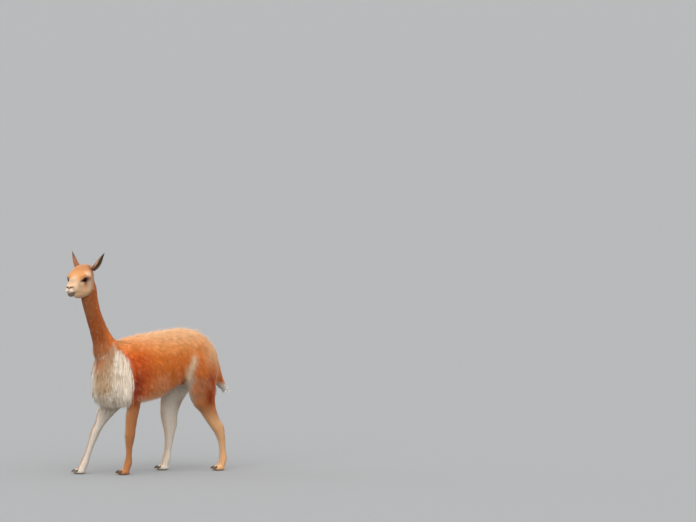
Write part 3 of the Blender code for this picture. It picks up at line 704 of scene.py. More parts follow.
class Finish:
    """A material under a plain name, and the nodes that drive it."""

    def __init__(self, name, **constants):
        self.material = bpy.data.materials.new(name)
        self.material.use_nodes = True
        self.tree = self.material.node_tree
        self.shader = self.tree.nodes["Principled BSDF"]
        for socket, value in constants.items():
            self.shader.inputs[socket.replace("_", " ")].default_value = value

    def put(self, socket, value):
        if isinstance(value, Wire):
            self.tree.links.new(value.socket, socket)
        else:
            socket.default_value = value

    def node(self, kind, settings=None, values=None, out=0):
        """Adds a node: its settings first, then its sockets' values or wires."""
        made = self.tree.nodes.new(kind)
        for name, value in (settings or {}).items():
            if name == "stops":
                stops = made.color_ramp.elements
                for stop, (at, shade) in zip([stops[0], stops[1]], value):
                    stop.position = at
                    stop.color = (*[shade] * 3, 1)
            else:
                setattr(made, name, value)
        for name, value in (values or {}).items():
            self.put(made.inputs[name], value)
        return Wire(self, made.outputs[out])

    def attribute(self, name, out="Color"):
        return self.node("ShaderNodeAttribute", {"attribute_name": name}, out=out)

    def own_place(self, scale=(1, 1, 1)):
        """The piece's own coordinates, stretched."""
        place = self.node("ShaderNodeTexCoord", out="Object")
        return self.node("ShaderNodeMapping", values={"Vector": place, "Scale": scale})

    def noise(self, vector, scale, detail=2.0, rough=0.5):
        sockets = {"Vector": vector, "Scale": scale, "Detail": detail, "Roughness": rough}
        return self.node("ShaderNodeTexNoise", values=sockets)

    def mix(self, first, second, factor, blend="MIX"):
        settings = {"data_type": "RGBA", "blend_type": blend}
        return self.node("ShaderNodeMix", settings, {0: factor, 6: first, 7: second}, out=2)

    def between(self, value, low, high):
        """0 at low and 1 at high, straight between; low may be the greater."""
        return self.node("ShaderNodeMapRange", values={0: value, 1: low, 2: high, 3: 0, 4: 1})

    def set(self, socket, value):
        self.put(self.shader.inputs[socket], value)

    def bump(self, height, strength, distance):
        """Raises the surface by a height from 0 to 1, at most this distance in metres."""
        sockets = {"Strength": strength, "Distance": distance, "Height": height}
        self.set("Normal", self.node("ShaderNodeBump", values=sockets))


def stored(mesh, name, values):
    """Keeps a number or a colour for each point of a mesh, under a name that finishes read."""
    if values.ndim == 1:
        mesh.attributes.new(name, "FLOAT", "POINT").data.foreach_set("value", values.astype(np.float32))
        return
    colour = np.ones((len(values), 4), np.float32)
    colour[:, :3] = values
    mesh.attributes.new(name, "FLOAT_COLOR", "POINT").data.foreach_set("color", colour.ravel())


def hide_finish():
    hide = Finish("short_hair", Specular_IOR_Level=0.18, Sheen_Weight=0.07, Sheen_Roughness=0.5)
    patches = hide.noise(hide.own_place(), 9.0, 3.0)
    strokes_of_hair = hide.noise(hide.own_place((1, 0.9, 0.28)), 620.0, 2.0, 0.6)
    grain = hide.noise(hide.own_place(), 950.0, 2.0)
    shade = 0.80 + patches * 0.22 + strokes_of_hair * 0.20
    colour = hide.mix((0, 0, 0, 1), hide.attribute("coat"), shade)
    hide.set("Base Color", colour)
    bare_part = hide.attribute("bare", "Fac")
    hide.set("Roughness", 0.88 - bare_part * 0.42)
    relief = strokes_of_hair * (1 - bare_part) + grain * bare_part * 0.5
    hide.bump(relief, 0.55, 0.0012)
    return hide.material


def kept(piece, slot, finish, *replaced):
    """Gives a piece its finish, ties it to the body and hides the solids it stands for."""
    piece.data.materials.clear()
    piece.data.materials.append(finish)
    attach(piece, "root")
    if replaced:
        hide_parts(*replaced)


stored(skin.data, "coat", tint)
stored(skin.data, "bare", bare)
flesh = [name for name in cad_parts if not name.startswith(("eye", "nail"))]
kept(skin, "fawn_coat", hide_finish(), *flesh)

# --- Strands --------------------------------------------------------------------------------------
# Every lock, tuft and lash is a thin closed spike: rings of a few corners along its line, and a tip.
# Its place on the bake map is a small round patch where its root lies on the piece's own unwrap.
PATCH = 0.0015  # half a patch on the map
BASE_SPOT = np.array((0.0011, 0.0011))  # where a spike's base lies, in the patch's corner


def spike_pattern(rings, sides):
    """One spike's triangles by corner number, and the map place of each of their corners."""
    faces, spots = [], []
    turns = np.arange(sides) * 2 * math.pi / sides
    circle = np.stack([np.cos(turns), np.sin(turns)], 1)
    ring_spot = [PATCH * (1 - ring / rings) * circle for ring in range(rings)]
    tip = rings * sides
    for ring in range(rings):
        for i in range(sides):
            j = (i + 1) % sides
            low, low_spot = ring * sides, ring_spot[ring]
            if ring == rings - 1:
                faces.append((low + j, low + i, tip))
                spots.append((low_spot[j], low_spot[i], (0, 0)))
                continue
            high, high_spot = low + sides, ring_spot[ring + 1]
            faces.append((low + j, low + i, high + i))
            spots.append((low_spot[j], low_spot[i], high_spot[i]))
            faces.append((low + j, high + i, high + j))
            spots.append((low_spot[j], high_spot[i], high_spot[j]))
    for i in range(1, sides - 1):
        faces.append((0, i, i + 1))
        spots.append([BASE_SPOT + 0.25 * ring_spot[0][k] for k in (0, i, i + 1)])
    return np.array(faces), np.array(spots)


def spikes(name, line, width, shade, outward_way, chart, sides=3, flatness=0.6, softness=1.4):
    """Builds many spikes as one mesh.

    line: points along each spike, the last one its tip; width: across each ring; shade: a colour for
    each point of the line; outward_way: the skin's own direction at each root; chart: map places;
    sides: corners of a ring; flatness: how thick a ring is for its width; softness: how much of the
    skin's own shading the spikes take.
    """
    count, points, _ = line.shape
    rings = points - 1
    along = unit(np.diff(line, axis=1))
    across = unit(np.cross(along, outward_way[:, None]))
    over = np.cross(across, along)
    turns = np.arange(sides) * 2 * math.pi / sides
    radial = across[:, :, None] * np.cos(turns)[:, None]
    radial = radial + over[:, :, None] * np.sin(turns)[:, None] * flatness
    ring_points = line[:, :-1, None] + radial * width[:, :, None, None] / 2
    vertices = np.concatenate([ring_points.reshape(count, -1, 3), line[:, -1:]], 1)
    faces, spots = spike_pattern(rings, sides)
    each = rings * sides + 1
    corners = (faces.reshape(1, -1) + np.arange(count)[:, None] * each).ravel()
    mesh = bpy.data.meshes.new(name)
    mesh.vertices.add(count * each)
    mesh.vertices.foreach_set("co", vertices.astype(np.float32).ravel())
    mesh.loops.add(len(corners))
    mesh.loops.foreach_set("vertex_index", corners.astype(np.int32))
    mesh.polygons.add(len(corners) // 3)
    mesh.polygons.foreach_set("loop_start", np.arange(0, len(corners), 3, dtype=np.int32))
    mesh.update(calc_edges=True)
    mesh.shade_smooth()
    colour = np.repeat(shade[:, :-1], sides, axis=1)
    stored(mesh, "coat", np.concatenate([colour, shade[:, -1:]], 1).reshape(-1, 3))
    map_place = (chart[:, None] + spots.reshape(1, -1, 2)).astype(np.float32)
    mesh.uv_layers.new(name="OFBake").data.foreach_set("uv", map_place.ravel())
    soft = np.concatenate([radial.reshape(count, -1, 3), along[:, -1:]], 1)
    soft = unit(soft + outward_way[:, None] * softness)
    mesh.normals_split_custom_set_from_vertices(soft.reshape(-1, 3).tolist())
    made = bpy.data.objects.new(name, mesh)
    bpy.context.scene.collection.objects.link(made)
    return made


def charted(along, around):
    """Map places from two measures of the skin's own shape, spread over the map."""
    found = []
    for value in (along, around):
        low, high = value.min(), value.max()
        found.append(0.02 + 0.96 * (value - low) / (high - low))
    return np.stack(found, 1)


# --- Eyes -----------------------------------------------------------------------------------------
# Glass eyes lie behind the lids: a ball with a clear bulge in front, a near-black brown iris and the
# level pupil of the camel family. Dark bare lids ring them, and long lashes hang over them.
IRIS_RADIUS = 0.0125
PUPIL_LENGTH = 0.0080
PUPIL_HEIGHT = 0.0052
EYE_BULGE = 0.0011
IRIS_LIGHT = (*paint(62, 32, 12), 1)
IRIS_DARK = (*paint(26, 13, 6), 1)
EYE_RING = (*paint(14, 8, 4), 1)
PUPIL_BLACK = (0.0012, 0.0010, 0.0010, 1)
LID_EDGE_RADIUS = 0.0016
LID_EDGE_CORNERS = 64
LASHES = 34
LASH_LENGTH = 0.0085
LASH_WIDTHS = (0.00075, 0.0006)


def eye_finish():
    glass = Finish(
        "glass_eye", Roughness=0.10, Coat_Weight=0.07, Coat_Roughness=0.03, Specular_IOR_Level=0.06
    )
    sight = glass.node("ShaderNodeSeparateXYZ", values={0: glass.attribute("sight", "Vector")})
    level = Wire(glass, sight.socket.node.outputs[1])
    far = sight * sight + level * level
    fibres = glass.noise(glass.own_place(), 900.0, 3.0)
    iris = glass.mix(IRIS_LIGHT, IRIS_DARK, fibres)
    ball = glass.mix(iris, EYE_RING, glass.between(far, IRIS_RADIUS**2 * 0.8, IRIS_RADIUS**2))
    oval = sight * sight * (1 / PUPIL_LENGTH**2) + level * level * (1 / PUPIL_HEIGHT**2)
    glass.set("Base Color", glass.mix(ball, PUPIL_BLACK, glass.between(oval, 1.15, 0.85)))
    return glass.material


def lid_finish():
    lid = Finish("lid", Base_Color=(*paint(28, 16, 9), 1), Specular_IOR_Level=0.3)
    grain = lid.noise(lid.own_place(), 1400.0, 2.0)
    lid.set("Roughness", 0.40 + grain * 0.2)
    lid.bump(grain, 0.3, 0.0003)
    return lid.material


def hair_finish(name, patch_size, contrast):
    """Hair takes its colour from its root, in soft patches of lighter and darker."""
    hair = Finish(
        name, Roughness=0.82, Specular_IOR_Level=0.18, Sheen_Weight=0.15, Sheen_Roughness=0.45
    )
    patches = hair.noise(hair.own_place(), 1 / patch_size, 2.0)
    colour = hair.mix((0, 0, 0, 1), hair.attribute("coat"), (1 - contrast / 2) + patches * contrast)
    hair.set("Base Color", colour)
    return hair.material


glass_eye, lid_skin = eye_finish(), lid_finish()
lash_hair = hair_finish("lash_hair", 0.02, 0.1)
for side, name in ((1, "eye_left"), (-1, "eye_right")):
    bpy.ops.object.select_all(action="DESELECT")
    bpy.ops.mesh.primitive_uv_sphere_add(segments=56, ring_count=36, radius=EYE_RADIUS)
    ball = bpy.context.object
    ball.name = f"glass_{name}"
    at = places(ball.data)
    stored(ball.data, "sight", at)
    bulge = np.sqrt((at[:, :2] ** 2).sum(1))
    at[:, 2] += EYE_BULGE * ramp(bulge, IRIS_RADIUS * 1.1, 0) * (at[:, 2] > 0)
    set_places(ball.data, at)
    ball.data.transform(eye_frame(side))
    ball.data.shade_smooth()
    kept(ball, "eye", glass_eye, name)

    around = np.arange(LID_EDGE_CORNERS) * 2 * math.pi / LID_EDGE_CORNERS
    x = np.cos(around)
    y = np.sign(np.sin(around)) * opening_height(x)
    reach = EYE_RADIUS + 0.0007
    x = x * EYE_LENGTH
    line = np.stack([x, y, np.sqrt(np.maximum(reach**2 - x**2 - y**2, 0.0001**2))], 1)
    bend = bpy.data.curves.new(f"lids_{name}", "CURVE")
    bend.dimensions = "3D"
    bend.bevel_depth = LID_EDGE_RADIUS
    bend.bevel_resolution = 3
    spline = bend.splines.new("POLY")
    spline.points.add(len(line) - 1)
    spline.use_cyclic_u = True
    for point, spot, lift in zip(spline.points, line, np.sin(around)):
        point.co = (*spot, 1)
        point.radius = 1.0 + 0.5 * max(lift, 0)
    lids = bpy.data.objects.new(f"lids_{name}", bend)
    bpy.context.scene.collection.objects.link(lids)
    only(lids)
    bpy.ops.object.convert(target="MESH")
    lids.data.transform(eye_frame(side))
    lids.data.shade_smooth()
    kept(lids, "eye", lid_skin)

    luck = np.random.default_rng(40 + side)
    along = np.linspace(-0.80, 0.92, LASHES) + luck.normal(0, 0.015, LASHES)
    start = np.stack([along * EYE_LENGTH, opening_height(along) + 0.0010, np.zeros(LASHES)], 1)
    start[:, 2] = np.sqrt(np.maximum((EYE_RADIUS + 0.0018) ** 2 - (start[:, :2] ** 2).sum(1), 0))
    long = (LASH_LENGTH + 0.0045 * ramp(along, -0.8, 0.4)) * luck.uniform(0.8, 1.1, LASHES)
    middle = start + np.stack([0.10 * along * long, 0.02 * long, 0.50 * long], 1)
    end = start + np.stack([0.35 * (along + 0.2) * long, -0.42 * long, 0.85 * long], 1)
    line = moved(eye_frame(side), np.stack([start, middle, end], 1).reshape(-1, 3)).reshape(-1, 3, 3)
    out_way = np.tile(np.array(eye_frame(side).to_3x3() @ Vector((0, 1, 0.3))), (LASHES, 1))
    lash = spikes(
        f"lashes_{name}",
        line,
        np.tile(LASH_WIDTHS, (LASHES, 1)),
        np.tile(BLACK, (LASHES, 3, 1)),
        unit(out_way),
        charted(along, luck.uniform(0, 1, LASHES)),
    )
    kept(lash, "eye", lash_hair)

# --- Nails ----------------------------------------------------------------------------------------
# Each toe ends in a dark horn nail, ridged across as it grew, blunt at its tip and pale at its edge.
NAIL_SIZE = (0.0086, 0.0182, 0.0084)  # half width, length and height
NAIL_TILT = math.radians(14)
TOE_SPLAY = math.radians(8)
HORN_DARK = (*paint(40, 33, 29), 1)
HORN_PALE = (*paint(92, 78, 66), 1)


def horn_finish():
    horn = Finish("horn", Specular_IOR_Level=0.5)
    growth = horn.noise(horn.own_place((1, 3.5, 1)), 260.0, 3.0)
    wear = horn.noise(horn.own_place(), 1200.0, 2.0)
    horn.set("Base Color", horn.mix(HORN_DARK, HORN_PALE, growth * 0.8))
    horn.set("Roughness", 0.38 + wear * 0.25)
    relief = growth * 0.7 + wear * 0.3
    horn.bump(relief, 0.4, 0.0004)
    return horn.material


horn = horn_finish()
for node in sorted(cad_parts):
    if not node.startswith("nail"):
        continue
    low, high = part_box(node)
    splay = TOE_SPLAY * (1 if "left" in node else -1) * (1 if "outer" in node else -1)
    bpy.ops.object.select_all(action="DESELECT")
    bpy.ops.mesh.primitive_uv_sphere_add(segments=32, ring_count=24, radius=1)
    nail = bpy.context.object
    nail.name = f"horn_{node}"
    nail.data.transform(Matrix.Rotation(math.pi / 2, 4, "X"))
    at = places(nail.data)
    tip = ramp(-at[:, 1], -0.1, 1.0)
    at[:, 0] *= 1 - 0.30 * tip
    at[:, 2] = np.where(at[:, 2] < -0.45, -0.45 + (at[:, 2] + 0.45) * 0.35, at[:, 2]) * (1 - 0.12 * tip)
    at *= (1 + 0.010 * np.sin(at[:, 1] * 26))[:, None] * 0.985
    set_places(nail.data, at * np.array(NAIL_SIZE))
    tilt = Matrix.Rotation(splay, 4, "Z") @ Matrix.Rotation(NAIL_TILT, 4, "X")
    nail.data.transform(Matrix.Translation((low + high) / 2) @ tilt)
    nail.data.shade_smooth()
    kept(nail, "nail", horn, node)

# --- Lie of the coat ------------------------------------------------------------------------------
# Hair runs back from the nose over the head, down the neck and the legs, back and down over the
# barrel and straight down the rump. Tufts grow along that lie, gather into locks and lift a little.
HANGING = np.array((0.0, 0.0, -1.0))
corners = corners_of(skin.data)
skin_tree = BVHTree.FromPolygons(place.tolist(), corners.tolist())
edge_one = place[corners[:, 1]] - place[corners[:, 0]]
edge_two = place[corners[:, 2]] - place[corners[:, 0]]
area = np.linalg.norm(np.cross(edge_one, edge_two), axis=1) / 2


def ways_of(*way):
    return np.tile(np.array(way, float), (len(place), 1))


steep = np.abs(normal[:, 0])[:, None]
lie = ways_of(0, 1, -0.30) + steep * ways_of(0, -0.25, -0.95)
lie = blended(lie, ways_of(0, 0.15, -1), ramp(ahead, -0.24, -0.36) * ramp(height, 0.84, 0.74))
lie = blended(lie, ways_of(0, -0.10, -1), ramp(ahead, 0.20, 0.26))
on_limb = np.clip(zone["upper"] + zone["lower"] + zone["foot"], 0, 1)
lie = blended(lie, ways_of(0, 0.15, -1), on_limb)
lie = blended(lie, ways_of(0, 0.12, -1), neck)
lie = blended(lie, ways_of(0, 0.52, -0.86), tail)
lie = blended(lie, ways_of(0, 0.75, -0.66), tail * ramp(height, 0.56, 0.51))
turned = np.array(head_turn.to_3x3())
face_lie = ways_of(0, 1, 0.05) + ways_of(0, -0.25, 0.65) * ramp(in_head[:, 2], 0.00, 0.05)[:, None]
face_lie = face_lie + ways_of(0, -0.1, -0.55) * ramp(in_head[:, 2], -0.02, -0.06)[:, None]
face_lie = face_lie + ways_of(0, -0.1, -0.9) * ramp(in_head[:, 1], -0.03, 0.03)[:, None]
lie = blended(lie, face_lie @ turned.T, head)
for side in (1, -1):
    own_ear = np.clip(zone["ear"] * 1.4, 0, 1) * (np.sign(in_head[:, 0]) == side)
    lie = blended(lie, ear_way(side)[None], own_ear)
lie = web.evened(lie, 4)
rising = (lie * normal).sum(1)
rising = rising * (1 - tail * (rising > 0))  # the tail's hair runs straight on past its tip
lie = unit(lie - normal * rising[:, None])


class Roots:
    """Places on the skin where hair grows, spread evenly where keep is above 0."""

    def __init__(self, keep, count, seed):
        self.luck = np.random.default_rng(seed)
        self.count = count
        total = np.cumsum(area * keep[corners].mean(1))
        picks = (np.arange(count) + self.luck.random(count)) / count * total[-1]
        self.corner = corners[np.minimum(np.searchsorted(total, picks), len(total) - 1)]
        first, second = np.sqrt(self.luck.random(count)), self.luck.random(count)
        self.share = np.stack([1 - first, first * (1 - second), first * second], 1)
        self.at = self.of(place)
        self.out = unit(self.of(normal))
        lie_here = self.of(lie)
        self.way = unit(lie_here - self.out * np.minimum((lie_here * self.out).sum(1), 0)[:, None])

    def of(self, field):
        """A field of the skin's points, at the roots."""
        share = self.share if field.ndim == 1 else self.share[..., None]
        return (field[self.corner] * share).sum(1)

    def random(self, low, high):
        return self.luck.uniform(low, high, self.count)


def clear_of_skin(points, least):
    """Moves the points that lie in the skin, or too near it, out to a least distance."""
    for i, (point, gap) in enumerate(zip(points.tolist(), least.tolist())):
        at, way, _, _ = skin_tree.find_nearest(point)
        off = (Vector(point) - at).dot(way)
        if off < gap:
            points[i] += np.array(way) * (gap - off)
    return points


def gathered(roots, middle, tip, spacing, pull):
    """Draws the tips of neighbouring tufts together into locks; gives the lock of each tuft too."""
    chief = roots.luck.permutation(roots.count)[: max(8, int(roots.count / spacing))]
    tree = KDTree(len(chief))
    for i, at in enumerate(roots.at[chief].tolist()):
        tree.insert(at, i)
    tree.balance()
    lock = np.array([tree.find(at)[1] for at in roots.at.tolist()])
    leader = chief[lock]
    tip = tip + (tip[leader] - tip) * pull[:, None]
    middle = middle + (middle[leader] - middle) * pull[:, None] * 0.4
    return middle, tip, lock


def tufts(
    name, keep, count, seed, wide, chart, slot, hair,
    spacing=16, pull=0.35, streak=0.10, bent=True, guard=0.0, stray=0.16,
    shading=0.06, longer=1.0, hang=0.0, own=PALE, share=None,
):
    """Covers a part of the skin with tufts, as long and as steep there as the coat is.

    spacing is how many tufts share a lock and pull how far it draws their tips together; streak is how
    much the locks differ in tone; bent tufts have a knee, the others are straight; guard is the share
    of thin pale guard hairs; stray is how far a tuft turns aside, shading how much darker its root is
    than its tip (painted shade deep in the coat, and paler tips), longer a factor on the coat's length,
    and hang how far a tuft droops off the skin; share is how much of a colour of their own the tufts
    have, at each skin point.
    """
    roots = Roots(keep, count, seed)
    is_guard = roots.random(0, 1) < guard
    length = roots.of(coat_long) * longer * roots.random(0.70, 1.20) * (1 + 0.25 * is_guard)
    steepness = roots.of(coat_rise) * roots.random(0.65, 1.35) * (1 + 0.6 * is_guard)
    cross = np.cross(roots.out, roots.way)
    way = unit(roots.way + cross * roots.luck.normal(0, stray, count)[:, None] + HANGING * hang)
    first, last = steepness[:, None] * 1.5, steepness[:, None]
    middle = roots.at + length[:, None] * 0.48 * (way * np.cos(first) + roots.out * np.sin(first))
    tip = roots.at + length[:, None] * (way * np.cos(last) + roots.out * np.sin(last))
    pull = pull * roots.random(0.4, 1.3) * (1 - is_guard)
    middle, tip, lock = gathered(roots, middle, tip, spacing, pull)
    tip = clear_of_skin(tip, length * 0.06)
    start = roots.at - roots.out * 0.0008
    base = roots.of(tint)
    if share is not None:
        base = blended(base, own, roots.of(share))
    lock_tone = roots.luck.normal(0, 1, lock.max() + 1)[lock]
    tone = 1 + 0.05 * roots.luck.normal(0, 1, count) + streak * 0.5 * lock_tone
    base = blended(base, PALE, 0.5 * streak * np.clip(lock_tone - 0.6, 0, 1.5) + 0.16 * is_guard)
    base = np.clip(base * tone[:, None], 0.001, 0.98)
    width = wide * roots.random(0.75, 1.2)[:, None] * (1 - 0.45 * is_guard)[:, None]
    width = width * np.array([1.0, 0.72])
    # Roots are darker than tips: paler tips, and painted shade deep in the coat.
    if bent:
        line = np.stack([start, clear_of_skin(middle, length * 0.08), tip], 1)
        shade = np.stack([base * (1 - shading * 1.4), base, base * (1 + shading)], 1)
    else:
        line, width = np.stack([start, tip], 1), width[:, :1]
        shade = np.stack([base * (1 - shading), base * (1 + shading)], 1)
    line[:, :, 2] = np.maximum(line[:, :, 2], 0.0015)
    made = spikes(name, line, width, np.minimum(shade, 0.98), roots.out, chart(roots.at))
    kept(made, slot, hair)
    return made


# --- Fleece of the barrel -------------------------------------------------------------------------
# Fine dense wool two fingers long covers back, flanks and rump. It stands a little, in soft locks,
# fullest over the croup; paler guard hair stands out of it.
FLEECE_TUFTS = 14300  # in each quarter
FLEECE_WIDTH = 0.0025

on_barrel = np.clip(zone["trunk"] + zone["chest"] + zone["upper"] * ramp(height, 0.46, 0.54), 0, 1)
on_barrel = on_barrel * (1 - bib) * (1 - np.clip(zone["tail"] * 1.5, 0, 1))
wool = hair_finish("fleece", 0.035, 0.36)


def barrel_chart(at):
    return charted(at[:, 1], np.arctan2(at[:, 0], at[:, 2] - 0.62))


for side, side_name in ((1, "left"), (-1, "right")):
    for end, end_name in ((1, "fore"), (-1, "hind")):
        quarter = on_barrel * (place[:, 0] * side >= 0) * ((ahead + 0.06) * end >= 0)
        tufts(
            f"fleece_{end_name}_{side_name}", quarter, FLEECE_TUFTS, 100 + 2 * side + end, FLEECE_WIDTH,
            barrel_chart, "fawn_coat", wool, spacing=13, pull=0.36, streak=0.17, guard=0.08, stray=0.32,
            shading=0.13,
        )

# Long pale hair streaks the fold before the thigh and, thinly, the middle of the flank, and hangs as
# a fringe from the flank's lower edge.
LONG_HAIRS = 3000
LONG_WIDTH = 0.0021
flank_streaks = bell(ahead, 0.03, 0.05) * ramp(height, 0.66, 0.60) * ramp(height, 0.46, 0.50) * 0.18
fringe = bell(height, 0.468, 0.020) * ramp(ahead, 0.21, 0.15) * ramp(ahead, -0.22, -0.14) * 0.8
long_keep = (2.4 * fold + 0.3 * thigh_front + flank_streaks) * ramp(outward, 0.2, 0.6)
# No long hair grows over the painted shade in the fold's hollow.
long_keep = on_barrel * (long_keep + fringe) * (1 - hollow_shade)
tufts(
    "long_hairs", long_keep, LONG_HAIRS, 120, LONG_WIDTH, barrel_chart, "fawn_coat", wool, spacing=9,
    pull=0.6, stray=0.30, shading=0.16, longer=1.35, hang=0.7, own=PALE * 1.06, share=0.35 + 0.6 * fold,
)

# --- Neck -----------------------------------------------------------------------------------------
# The neck's hair is shorter and denser, cinnamon, and runs down to the bib and the shoulders.
NECK_TUFTS = 11500
NECK_WIDTH = 0.0018

neck_keep = np.clip(zone["neck"] * 1.3 + zone["head"], 0, 1) * (1 - head) * (1 - bib)
neck_keep = neck_keep * (zone["ear"] < 0.35) * (1 - bare)
neck_wool = hair_finish("neck_wool", 0.025, 0.34)


def neck_chart(at):
    middle = -0.3835 + 0.24 * np.clip(1.18 - at[:, 2], 0, 0.5)
    return charted(at[:, 2], np.arctan2(at[:, 0], at[:, 1] - middle))


for side, side_name in ((1, "left"), (-1, "right")):
    half = neck_keep * (place[:, 0] * side >= 0)
    tufts(
        f"neck_coat_{side_name}", half, NECK_TUFTS, 200 + side, NECK_WIDTH, neck_chart, "rust_coat",
        neck_wool, spacing=12, pull=0.28, streak=0.14, guard=0.05, shading=0.08,
    )

# --- Legs -----------------------------------------------------------------------------------------
# Legs and feet carry short close hair, tawny outside and white inside, a little longer at the thigh.
LEG_TUFTS = 13000
LEG_WIDTH = 0.0016
leg_hair = hair_finish("leg_hair", 0.03, 0.16)


def leg_chart(at):
    middle = np.median(at[:, :2], axis=0)
    return charted(at[:, 2], np.arctan2(at[:, 0] - middle[0], at[:, 1] - middle[1]))


for side, side_name in ((1, "left"), (-1, "right")):
    for end, end_name in ((1, "fore"), (-1, "hind")):
        one = on_limb * (1 - on_barrel) * (place[:, 0] * side > 0) * (ahead * end > 0)
        one = one * (1 - sole) * (height > 0.006)
        tufts(
            f"{end_name}leg_hair_{side_name}", one, LEG_TUFTS, 300 + 2 * side + end, LEG_WIDTH,
            leg_chart, "leg_coat", leg_hair, spacing=10, pull=0.25, streak=0.06, bent=False,
        )

# --- Head and ears --------------------------------------------------------------------------------
# The face has the finest hair, flat and shortest on the muzzle; it is woolly on the crown, stands
# over the neck at the edge of the cheeks, and lies along the ears.
FACE_TUFTS = 35000
FACE_WIDTH = 0.0011
EAR_TUFTS = 8000
EAR_WIDTH = 0.0010
face_hair = hair_finish("face_hair", 0.03, 0.10)
face_keep = head * (1 - bare) * (zone["ear"] < 0.35)


def face_chart(at):
    own = moved(head_frame.inverted(), at)
    return charted(own[:, 1], np.arctan2(own[:, 0], own[:, 2]))


def ear_chart(at):
    own = moved(head_frame.inverted(), at)
    return charted(own[:, 2] + own[:, 1] * 0.4, own[:, 0] * 3 + own[:, 1])


tufts(
    "face_coat", face_keep, FACE_TUFTS, 400, FACE_WIDTH, face_chart, "fawn_coat", face_hair,
    spacing=9, pull=0.20, streak=0.05, bent=False,
)
ear_keep = np.clip(zone["ear"] * 1.4, 0, 1)
tufts(
    "ear_coat", ear_keep, EAR_TUFTS, 410, EAR_WIDTH, ear_chart, "ear_coat", face_hair, spacing=9,
    pull=0.15, streak=0.05, bent=False,
)

# --- Tail -----------------------------------------------------------------------------------------
# The tail is short and flat, cinnamon above with a white underside and a ragged white tip.
TAIL_TUFTS = 4600
TAIL_WIDTH = 0.0024
TAIL_WISPS = 1200
WISP_WIDTH = 0.0028
WHITE = np.array((0.97, 0.95, 0.88))

tail_keep = np.clip(zone["tail"] * 1.3, 0, 1)
bib_hair = hair_finish("bib_hair", 0.05, 0.14)


def tail_chart(at):
    return charted(at[:, 2], np.arctan2(at[:, 0], at[:, 1] - at[:, 1].mean()))


tufts(
    "tail_coat", tail_keep, TAIL_TUFTS, 500, TAIL_WIDTH, tail_chart, "rust_coat", wool, spacing=12,
    pull=0.40, streak=0.10,
)
wisp_keep = tail_keep * ramp(height, 0.550, 0.525) * ramp(normal[:, 2], -0.7, -0.2)
tufts(
    "tail_wisps", wisp_keep, TAIL_WISPS, 510, WISP_WIDTH, tail_chart, "rust_coat", bib_hair,
    spacing=14, pull=0.45, stray=0.13, longer=1.05, hang=0.1, own=WHITE, share=np.ones(len(place)),
)

# --- Bib ------------------------------------------------------------------------------------------
# The white bib is the longest hair: soft wavy locks a hand long that hang from the breast and the
# sides of the neck's foot, over the shoulder's edge, and end in points between the forelegs.
BIB_LOCKS = 5200  # on each side
BIB_STEPS = 4  # points along a lock, past its root
BIB_LENGTHS = (0.060, 0.125)  # the shortest and the longest lock
BIB_ENDS = (0.385, 0.440)  # no lock hangs lower than a height between these
BIB_WIDTH = 0.0034
BIB_TAPER = np.array([0.8, 1.0, 0.9, 0.65])
# A bib lock is darker at its root and paler at its tip: paler tips, and painted shade deep in the bib.
BIB_ROOT_SHADE = np.array([0.88, 0.94, 0.98, 1.0, 1.04])  # a lock is darker at its root
RUST_FADE = np.array([1.0, 0.92, 0.70, 0.45, 0.30])

